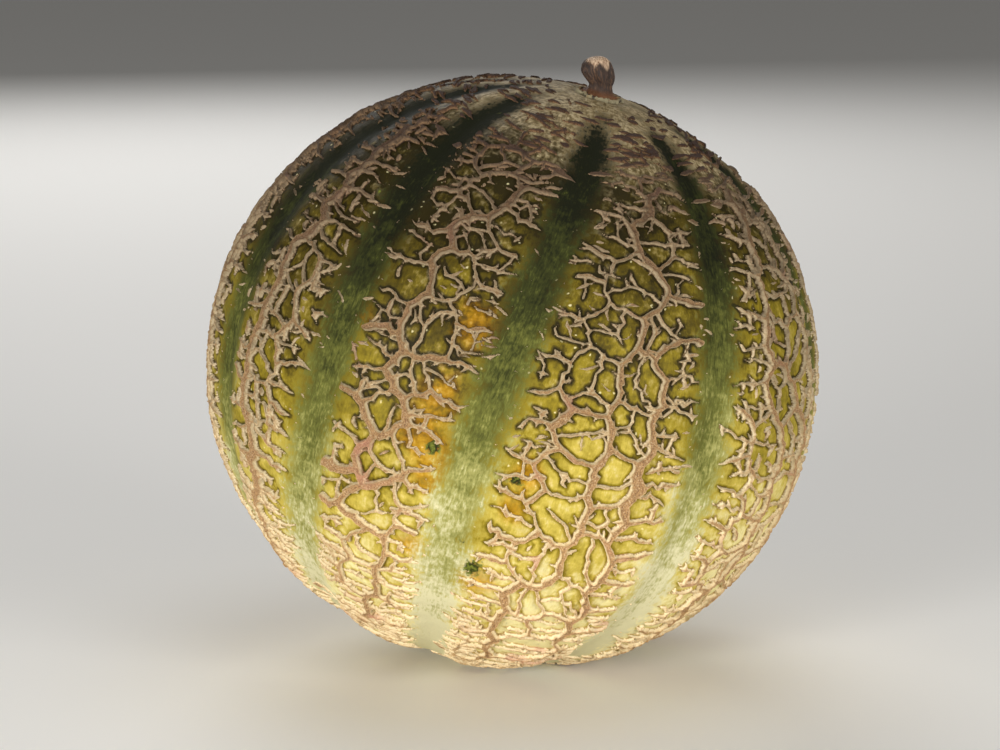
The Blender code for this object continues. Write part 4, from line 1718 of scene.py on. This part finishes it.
@dataclass(frozen=True)
class WaxyRind:
    """Melon rind: a waxy cuticle with a soft shine, olive to straw, and fibrous green furrows, darker high
    up, partly as painted shade.
    """

    tones: Stops = (
        (0.02, "#292208"),
        (0.25, "#55480f"),
        (0.48, "#8f7d1f"),
        (0.72, "#c3ae4c"),
        (0.98, "#eee1a2"),
    )
    amber: Stops = ((0.30, "#573804"), (0.48, "#a17409"), (0.66, "#d6a626"))
    greens: Stops = (
        (0.04, "#17190a"),
        (0.30, "#383b18"),
        (0.55, "#68692f"),
        (0.76, "#9f9b5a"),
        (0.98, "#d6cfa4"),
    )
    speck: str = "#f0e4ae"
    stem_skin: Stops = ((0.34, "#4d3f26"), (0.48, "#867450"), (0.62, "#c2b08a"))
    nick: Stops = ((0.38, "#120f07"), (0.50, "#33380f"), (0.62, "#6b7228"))
    roughness: float = 0.62
    furrow_roughness: float = 0.86
    patch_mm: float = 16.0
    mottle_mm: float = 4.2
    blot_mm: float = 1.1
    # Pores and furrow fibres are about 0.2 mm in life, too fine to show, so they are drawn coarser
    fibre_mm: float = 0.55
    fibre_stretch: float = 0.22
    speck_mm: float = 3.0
    pore_mm: float = 0.5
    # Width of the painted shade along each cushion's edge beside the net, in millimetres
    edge_mm: float = 0.8
    wax_specular: float = 0.12

    def build(self) -> bpy.types.Material:
        """Make the finish: cushions of skin with painted shade at their edges, and mottled green furrows, all
        darker high up.

        Returns:
            The material.
        """
        material, tree, shader = new_material("waxy_rind")
        place = add_node(tree, "TexCoord", out="Object")
        read = {
            name: add_node(tree, "Attribute", attribute_name=name, out="Fac")
            for name in ("furrow", "clear_mm", "ripe", "nick", "stem_end")
        }
        rib_place = add_node(tree, "Attribute", attribute_name="rib_place", out="Vector")
        patches, mottle, blots, pores = (
            add_node(tree, "TexNoise", {"Vector": place, "Scale": per_metre(size), "Detail": detail})
            for size, detail in (
                (self.patch_mm, 3.0), (self.mottle_mm, 4.0), (self.blot_mm, 4.0), (self.pore_mm, 3.0)
            )
        )
        stretch = (1.0, self.fibre_stretch, 1.0)
        along = add_node(tree, "Mapping", {"Vector": rib_place, "Scale": stretch})
        fine = {"Detail": 4.0, "Roughness": 0.62, "Distortion": 0.6}
        fibres = add_node(tree, "TexNoise", {"Vector": along, "Scale": 1.0 / self.fibre_mm, **fine})
        height = add_node(tree, "SeparateXYZ", {0: place}, out="Z")
        lowness = add_node(tree, "MapRange", {"Value": height, **TONE_AND_SHADE_HEIGHTS})
        # Painted shade: the skin darkens within edge_mm of the net, and more so high on the fruit
        near = {"From Max": self.edge_mm, "To Min": 1.0, "To Max": 0.0}
        edge = add_node(tree, "MapRange", {"Value": read["clear_mm"], **near})
        shading = {"From Min": 0.5, "To Min": 0.48, "To Max": 0.12}
        shaded = add_node(tree, "MapRange", {"Value": lowness, **shading})
        edge = add_node(tree, "Math", {0: edge, 1: shaded}, operation="MULTIPLY")

        # The tone drops by the painted edge shade and rises with lowness: darker high up, partly the skin's
        # own tone and partly painted shade
        tone = weighed(
            tree, -0.98,
            (patches, 0.60), (mottle, 0.60), (blots, 0.34), (fibres, 0.28), (edge, -1.0), (lowness, 1.17),
        )
        skin = add_node(tree, "ValToRGB", {0: tone}, self.tones)
        skin = self.ripen(tree, skin, read["ripe"], mottle, blots, lowness)
        skin = self.fleck(tree, skin, place)
        bare = weighed(tree, -0.60, (read["stem_end"], 1.0), (mottle, 0.9), (blots, 0.5))
        bare = add_node(tree, "MapRange", {"Value": bare, "From Min": 0.15, "From Max": 0.75})
        streaks = weighed(tree, 0.0, (blots, 0.55), (fibres, 0.45))
        stem_skin = add_node(tree, "ValToRGB", {0: streaks}, self.stem_skin)
        skin = add_node(tree, "Mix", {SHARE: bare, BELOW: skin, ABOVE: stem_skin}, **BLEND)

        # The furrows' green darkens towards the top through lowness, partly their own tone and partly painted
        # shade
        shade = weighed(
            tree, -1.05, (patches, 0.40), (mottle, 0.48), (blots, 0.40), (fibres, 0.62), (lowness, 1.25)
        )
        green = add_node(tree, "ValToRGB", {0: shade}, self.greens)
        fringe = weighed(
            tree, -1.10, (read["furrow"], 1.0), (mottle, 0.80), (blots, 0.75), (fibres, 0.65)
        )
        furrow = add_node(
            tree, "MapRange", {"Value": fringe, "From Min": 0.26, "From Max": 0.74},
            interpolation_type="SMOOTHSTEP",
        )
        colour = add_node(tree, "Mix", {SHARE: furrow, BELOW: skin, ABOVE: green}, **BLEND)
        nick = weighed(tree, -1.55, (read["nick"], 1.0), (blots, 1.5), (mottle, 1.6))
        nick = add_node(tree, "MapRange", {"Value": nick, "From Min": 0.50, "From Max": 0.80})
        dark = add_node(tree, "ValToRGB", {0: blots}, self.nick)
        colour = add_node(tree, "Mix", {SHARE: nick, BELOW: colour, ABOVE: dark}, **BLEND)
        tree.links.new(colour, shader.inputs["Base Color"])

        dustier = self.furrow_roughness - self.roughness
        rough = weighed(tree, self.roughness - 0.08, (furrow, dustier), (mottle, 0.16))
        tree.links.new(rough, shader.inputs["Roughness"])
        relief = weighed(tree, 0.0, (pores, 0.35), (blots, 0.45), (fibres, 0.55))
        bump = add_node(tree, "Bump", {"Height": relief, "Strength": 0.5, "Distance": BUMP_DEPTH})
        tree.links.new(bump, shader.inputs["Normal"])
        shader.inputs["Specular IOR Level"].default_value = self.wax_specular
        return material

    def ripen(
        self, tree: Tree, skin: Socket, cover: Socket, mottle: Socket, blots: Socket, lowness: Socket
    ) -> Socket:
        """Lay the amber of ripe patches over the skin.

        Args:
            tree: Node tree of the material.
            skin: Colour below.
            cover: Smooth cover of the patches.
            mottle: Broad noise that breaks up their edges.
            blots: Fine noise that darkens them here and there.
            lowness: How low the place is, which lightens them as painted light.

        Returns:
            Socket of the colour.
        """
        mask = weighed(tree, -0.75, (cover, 1.0), (mottle, 1.0), (blots, 0.5))
        mask = add_node(tree, "MapRange", {"Value": mask, "From Min": 0.30, "From Max": 0.95, "To Max": 0.86})
        # Painted light: the amber lightens lower on the fruit
        tone = weighed(tree, -0.18, (mottle, 0.6), (blots, 0.4), (lowness, 0.30))
        amber = add_node(tree, "ValToRGB", {0: tone}, self.amber)
        return add_node(tree, "Mix", {SHARE: mask, BELOW: skin, ABOVE: amber}, **BLEND)

    def fleck(self, tree: Tree, skin: Socket, place: Socket) -> Socket:
        """Scatter the small pale pores of the rind.

        Args:
            tree: Node tree of the material.
            skin: Colour below.
            place: Coordinates in metres.

        Returns:
            Socket of the colour.
        """
        wander = add_node(tree, "TexNoise", {"Vector": place, "Scale": per_metre(1.0)}, out="Color")
        stray = (1.0 * MM,) * 3
        moved = add_node(tree, "VectorMath", {0: wander, 1: stray, 2: place}, operation="MULTIPLY_ADD")
        spots = add_node(tree, "TexVoronoi", {"Vector": moved, "Scale": per_metre(self.speck_mm)})
        spot = add_node(tree, "MapRange", {"Value": spots, "From Min": 0.12, "From Max": 0.05, "To Max": 0.7})
        return add_node(tree, "Mix", {SHARE: spot, BELOW: skin, ABOVE: linear(self.speck)}, **BLEND)


@dataclass(frozen=True)
class CorkNet:
    """Cork that healed the rind's cracks: dry and matt, with pale torn lips round a gritty brown core."""

    profile: Stops = (
        (0.06, "#9b8050"),
        (0.16, "#f8e6bd"),
        (0.26, "#eed6a8"),
        (0.40, "#c19a66"),
        (0.80, "#bb915e"),
    )
    # Cork tones of real wear near the stem, also laid on the upper ridges as painted shade
    weathered_and_shaded: Stops = (
        (0.04, "#301c14"),
        (0.13, "#7c5d3c"),
        (0.21, "#553921"),
        (0.31, "#382315"),
    )
    # Painted shade at the ridges' feet beside the skin, dark near the top and pale near the table
    foot: Stops = ((0.12, "#2e260e"), (0.50, "#6b5520"), (0.92, "#c6a763"))
    dark_grit: str = "#7f5c3b"
    pale_grit: str = "#e6cfaa"
    blush: str = "#c98872"
    # Grains of cork are about 0.2 mm in life, too fine to show, so they are drawn coarser
    grit_mm: float = 0.42
    layer_mm: float = 0.40
    wander_mm: float = 1.6
    blush_mm: float = 12.0
    roughness: float = 0.86

    def build(self) -> bpy.types.Material:
        """Make the finish: a foot of painted shade, darker high up, pale lip and gritty core, read from the
        depth inside the edge.

        Returns:
            The material.
        """
        material, tree, shader = new_material("cork_net")
        place = add_node(tree, "TexCoord", out="Object")
        depth = add_node(tree, "Attribute", attribute_name="depth_mm", out="Fac")
        stem_end = add_node(tree, "Attribute", attribute_name="stem_end", out="Fac")
        coarse = {"Vector": place, "Roughness": 0.65}
        grit, wander, blots = (
            add_node(tree, "TexNoise", {**coarse, "Scale": per_metre(size), "Detail": detail})
            for size, detail in ((self.grit_mm, 4.0), (self.wander_mm, 3.0), (self.blush_mm, 2.0))
        )
        edge = weighed(tree, -0.09, (depth, 1.0), (grit, 0.22))
        share = add_node(tree, "MapRange", {"Value": edge, "From Min": -0.10, "From Max": 0.90})
        colour = add_node(tree, "ValToRGB", {0: share}, self.profile)
        height = add_node(tree, "SeparateXYZ", {0: place}, out="Z")
        lowness = add_node(tree, "MapRange", {"Value": height, **TONE_AND_SHADE_HEIGHTS})
        # Painted shade at the foot of each ridge, darker higher on the fruit
        foot = add_node(tree, "ValToRGB", {0: lowness}, self.foot)
        risen = add_node(tree, "MapRange", {"Value": depth, "From Min": -0.12, "From Max": 0.05})
        colour = add_node(tree, "Mix", {SHARE: risen, BELOW: foot, ABOVE: colour}, **BLEND)
        inner = add_node(tree, "MapRange", {"Value": depth, "From Min": 0.22, "From Max": 0.50})

        # Layers of cork run along the ridge, so they follow the depth inside its edge
        turns = weighed(tree, 0.0, (depth, math.tau / self.layer_mm), (wander, 16.0))
        layers = add_node(tree, "Math", {0: turns}, operation="SINE")
        dark = weighed(tree, -0.60, (layers, 0.10), (grit, 1.25))
        dark = add_node(tree, "MapRange", {"Value": dark, "From Min": 0.03, "From Max": 0.18, "To Max": 0.85})
        dark = add_node(tree, "Math", {0: dark, 1: inner}, operation="MULTIPLY")
        grit_colour = linear(self.dark_grit)
        colour = add_node(tree, "Mix", {SHARE: dark, BELOW: colour, ABOVE: grit_colour}, **BLEND)
        pale = add_node(tree, "MapRange", {"Value": grit, "From Min": 0.44, "From Max": 0.34, "To Max": 0.75})
        pale = add_node(tree, "Math", {0: pale, 1: inner}, operation="MULTIPLY")
        grit_colour = linear(self.pale_grit)
        colour = add_node(tree, "Mix", {SHARE: pale, BELOW: colour, ABOVE: grit_colour}, **BLEND)
        blush = add_node(tree, "MapRange", {"Value": blots, "From Min": 0.6, "From Max": 0.72, "To Max": 0.5})
        colour = add_node(tree, "Mix", {SHARE: blush, BELOW: colour, ABOVE: linear(self.blush)}, **BLEND)
        # Mostly painted shade: the ridges take these brown tones higher on the fruit, with a little real wear
        # near the stem
        worn_and_shaded = add_node(tree, "ValToRGB", {0: share}, self.weathered_and_shaded)
        highness = add_node(tree, "MapRange", {"Value": height, "From Min": 0.042, "From Max": 0.130})
        wear_and_shade = weighed(tree, 0.0, (stem_end, 0.14), (highness, 0.94))
        colour = add_node(tree, "Mix", {SHARE: wear_and_shade, BELOW: colour, ABOVE: worn_and_shaded}, **BLEND)
        tree.links.new(colour, shader.inputs["Base Color"])
        relief = weighed(tree, 0.0, (grit, 1.0), (layers, 0.10))
        bump = add_node(tree, "Bump", {"Height": relief, "Strength": 0.8, "Distance": BUMP_DEPTH})
        tree.links.new(bump, shader.inputs["Normal"])
        shader.inputs["Roughness"].default_value = self.roughness
        return material


@dataclass(frozen=True)
class DryStem:
    """Dried stem wood: dark brown fibres, and a pale, rounded, weather-beaten cut."""

    wood: Stops = ((0.36, "#1d120c"), (0.54, "#3b271a"), (0.70, "#66492f"))
    foot: str = "#8a552a"
    pith: Stops = ((0.34, "#6e4a2e"), (0.60, "#cdb091"))
    # Wood fibres are about 0.1 mm in life, too fine to show, so they are drawn coarser
    fibre_mm: float = 0.40
    fibre_stretch: float = 0.16
    roughness: float = 0.72

    def build(self) -> bpy.types.Material:
        """Make the finish, with fibres that run along the stub and lighter ones at its foot.

        Returns:
            The material.
        """
        material, tree, shader = new_material("dry_stem")
        place = add_node(tree, "Attribute", attribute_name="stub_place", out="Vector")
        cut = add_node(tree, "Attribute", attribute_name="cut", out="Fac")
        stretched = add_node(tree, "Mapping", {"Vector": place, "Scale": (1.0, 1.0, self.fibre_stretch)})
        fine = {"Detail": 4.0, "Roughness": 0.6}
        fibres = add_node(tree, "TexNoise", {"Vector": stretched, "Scale": 1.0 / self.fibre_mm, **fine})
        wood = add_node(tree, "ValToRGB", {0: fibres}, self.wood)
        low = weighed(tree, 0.0, (fibres, 2.4), (add_node(tree, "SeparateXYZ", {0: place}, out="Z"), 1.0))
        foot = add_node(tree, "MapRange", {"Value": low, "From Min": 2.9, "From Max": 1.1, "To Max": 0.70})
        wood = add_node(tree, "Mix", {SHARE: foot, BELOW: wood, ABOVE: linear(self.foot)}, **BLEND)
        pith = add_node(tree, "ValToRGB", {0: fibres}, self.pith)
        colour = add_node(tree, "Mix", {SHARE: cut, BELOW: wood, ABOVE: pith}, **BLEND)
        tree.links.new(colour, shader.inputs["Base Color"])
        bump = add_node(tree, "Bump", {"Height": fibres, "Strength": 0.8, "Distance": BUMP_DEPTH})
        tree.links.new(bump, shader.inputs["Normal"])
        shader.inputs["Roughness"].default_value = self.roughness
        return material


@dataclass(frozen=True)
class ScarCork:
    """Rough cork where the stem or blossom joined: orange-brown fibres, with painted shade in the cracks."""

    tones: Stops = (
        (0.30, "#6e3a18"),
        (0.52, "#8a562c"),
        (0.74, "#8c7349"),
        (0.95, "#918769"),
    )
    # Painted shade in the collar's cracks
    crack: str = "#20130c"
    # Drawn coarser than life, as the grit of the net is
    grit_mm: float = 0.5
    roughness: float = 0.85

    def build(self) -> bpy.types.Material:
        """Make the finish from the place across the collar and its cracks.

        Returns:
            The material.
        """
        material, tree, shader = new_material("scar_cork")
        place = add_node(tree, "TexCoord", out="Object")
        share, crack, fibre = (
            add_node(tree, "Attribute", attribute_name=name, out="Fac")
            for name in ("share", "crack", "fibre")
        )
        grit = add_node(
            tree, "TexNoise",
            {"Vector": place, "Scale": per_metre(self.grit_mm), "Detail": 4.0, "Roughness": 0.65},
        )
        tone = weighed(tree, -0.35, (share, 1.0), (grit, 1.0), (fibre, 0.20))
        colour = add_node(tree, "ValToRGB", {0: tone}, self.tones)
        # The cracks get near-black painted shade
        colour = add_node(tree, "Mix", {SHARE: crack, BELOW: colour, ABOVE: linear(self.crack)}, **BLEND)
        tree.links.new(colour, shader.inputs["Base Color"])
        bump = add_node(tree, "Bump", {"Height": grit, "Strength": 0.8, "Distance": BUMP_DEPTH})
        tree.links.new(bump, shader.inputs["Normal"])
        shader.inputs["Roughness"].default_value = self.roughness
        return material


@dataclass(frozen=True)
class PaleCard:
    """Matt white card under the fruit: an even, faintly warm ground that gives soft light back."""

    colour: str = "#f4f2ee"
    roughness: float = 0.75

    def build(self) -> bpy.types.Material:
        """Make the finish, which is the same all over."""
        material, _, shader = new_material("pale_card")
        shader.inputs["Base Color"].default_value = linear(self.colour)
        shader.inputs["Roughness"].default_value = self.roughness
        return material


@dataclass(frozen=True)
class Lamp:
    """Round soft light: its place and width in metres, and its power in watts."""

    name: str
    place: tuple[float, float, float]
    width: float
    power: float

    def build(self, centre: np.ndarray) -> None:
        """Hang the light where it belongs, turned to the fruit.

        Args:
            centre: Centre of the fruit.
        """
        data = bpy.data.lights.new(self.name, "AREA")
        data.shape = "DISK"
        data.size = self.width
        data.energy = self.power
        lamp = bpy.data.objects.new(self.name, data)
        lamp.location = self.place
        aim = Vector(centre) - lamp.location
        lamp.rotation_euler = aim.to_track_quat("-Z", "Y").to_euler()
        bpy.context.scene.collection.objects.link(lamp)


LAMPS = (
    Lamp("key", (-0.50, -0.75, 0.16), 0.32, 6.6),
    Lamp("fill", (0.62, -0.62, 0.20), 0.40, 4.6),
    Lamp("back", (-0.30, 1.30, 0.90), 1.00, 9.0),
    Lamp("top", (0.20, 0.00, 1.20), 0.80, 2.0),
)


@dataclass
class Studio:
    """Pale floor, soft lights and the camera at the photograph's viewing angle."""

    form: FruitForm
    camera_distance: float = 0.750
    camera_elevation: float = math.radians(10.0)
    fruit_half_px: float = 310.0
    fruit_half: float = 0.0757
    fruit_px: Range = (514.0, 370.5)
    picture_px: Range = (1000.0, 750.0)
    sensor: float = 36.0
    floor_half: float = 3.0
    floor_drop: float = 0.00005
    air_colour: str = "#f4f3f0"
    air_strength: float = 0.17

    def build(self) -> None:
        """Make the floor, the lights, the pale surroundings and the camera."""
        self.floor()
        self.lights()
        self.camera()

    def floor(self) -> None:
        """Lay the pale floor."""
        bpy.ops.mesh.primitive_plane_add(size=2.0 * self.floor_half, location=(0.0, 0.0, -self.floor_drop))
        floor = bpy.context.active_object
        floor.name = "pale_floor"
        floor.data.materials.append(PaleCard().build())

    def lights(self) -> None:
        """Set broad soft lights low at either side of the front, and a weaker one above."""
        bpy.context.scene.view_settings.view_transform = "Standard"
        world = bpy.data.worlds.new("studio_air")
        bpy.context.scene.world = world
        world.use_nodes = True
        air = world.node_tree.nodes["Background"]
        air.inputs["Color"].default_value = linear(self.air_colour)
        air.inputs["Strength"].default_value = self.air_strength
        for lamp in LAMPS:
            lamp.build(self.form.centre())

    def camera(self) -> None:
        """Set the camera so that the fruit has the photograph's size and place."""
        data = bpy.data.cameras.new("camera")
        seen = self.fruit_half / math.sqrt(self.camera_distance ** 2 - self.fruit_half ** 2)
        data.sensor_width = self.sensor
        data.lens = self.fruit_half_px / seen * self.sensor / self.picture_px[0]
        data.shift_x = (0.5 * self.picture_px[0] - self.fruit_px[0]) / self.picture_px[0]
        data.shift_y = (self.fruit_px[1] - 0.5 * self.picture_px[1]) / self.picture_px[0]
        camera = bpy.data.objects.new("camera", data)
        back = Vector((0.0, -math.cos(self.camera_elevation), math.sin(self.camera_elevation)))
        camera.location = Vector(self.form.centre()) + back * self.camera_distance
        camera.rotation_euler = (-back).to_track_quat("-Z", "Y").to_euler()
        bpy.context.scene.collection.objects.link(camera)
        bpy.context.scene.camera = camera


def dress(piece: bpy.types.Object, material: bpy.types.Material, node: str) -> None:
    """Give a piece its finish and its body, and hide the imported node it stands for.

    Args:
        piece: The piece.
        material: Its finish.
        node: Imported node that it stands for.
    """
    piece.data.materials.append(material)
    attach(piece, "root")
    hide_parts(node)
    LOG.info("%s: %d faces", piece.name, len(piece.data.polygons))


def main() -> None:
    """Build and dress every piece in order, then the studio."""
    form = FruitForm()
    plan = NetPlan(form)
    ribs = [RibSheet(form, plan, index) for index in range(len(form.furrows))]
    dress(Rind(form, ribs).build(), WaxyRind().build(), "melon_fruit")
    cork = CorkNet().build()
    for rib in ribs:
        dress(CorkSheet(rib).build(), cork, "melon_fruit")
    scar = ScarCork().build()
    stem_collar = Collar(form, "stem_collar", end=1.0, inner_mm=3.2, outer_mm=6.1, height_mm=0.42, seed=81)
    blossom_scar = Collar(form, "blossom_scar", end=-1.0, inner_mm=0.3, outer_mm=6.2, height_mm=0.45, seed=91)
    for collar in (stem_collar, blossom_scar):
        dress(collar.build(), scar, "melon_fruit")
    dress(StemStub(form).build(), DryStem().build(), "stem_stub")
    Studio(form).build()


if __name__ == "__main__":
    logging.basicConfig(level=logging.INFO, format="%(message)s")
    main()
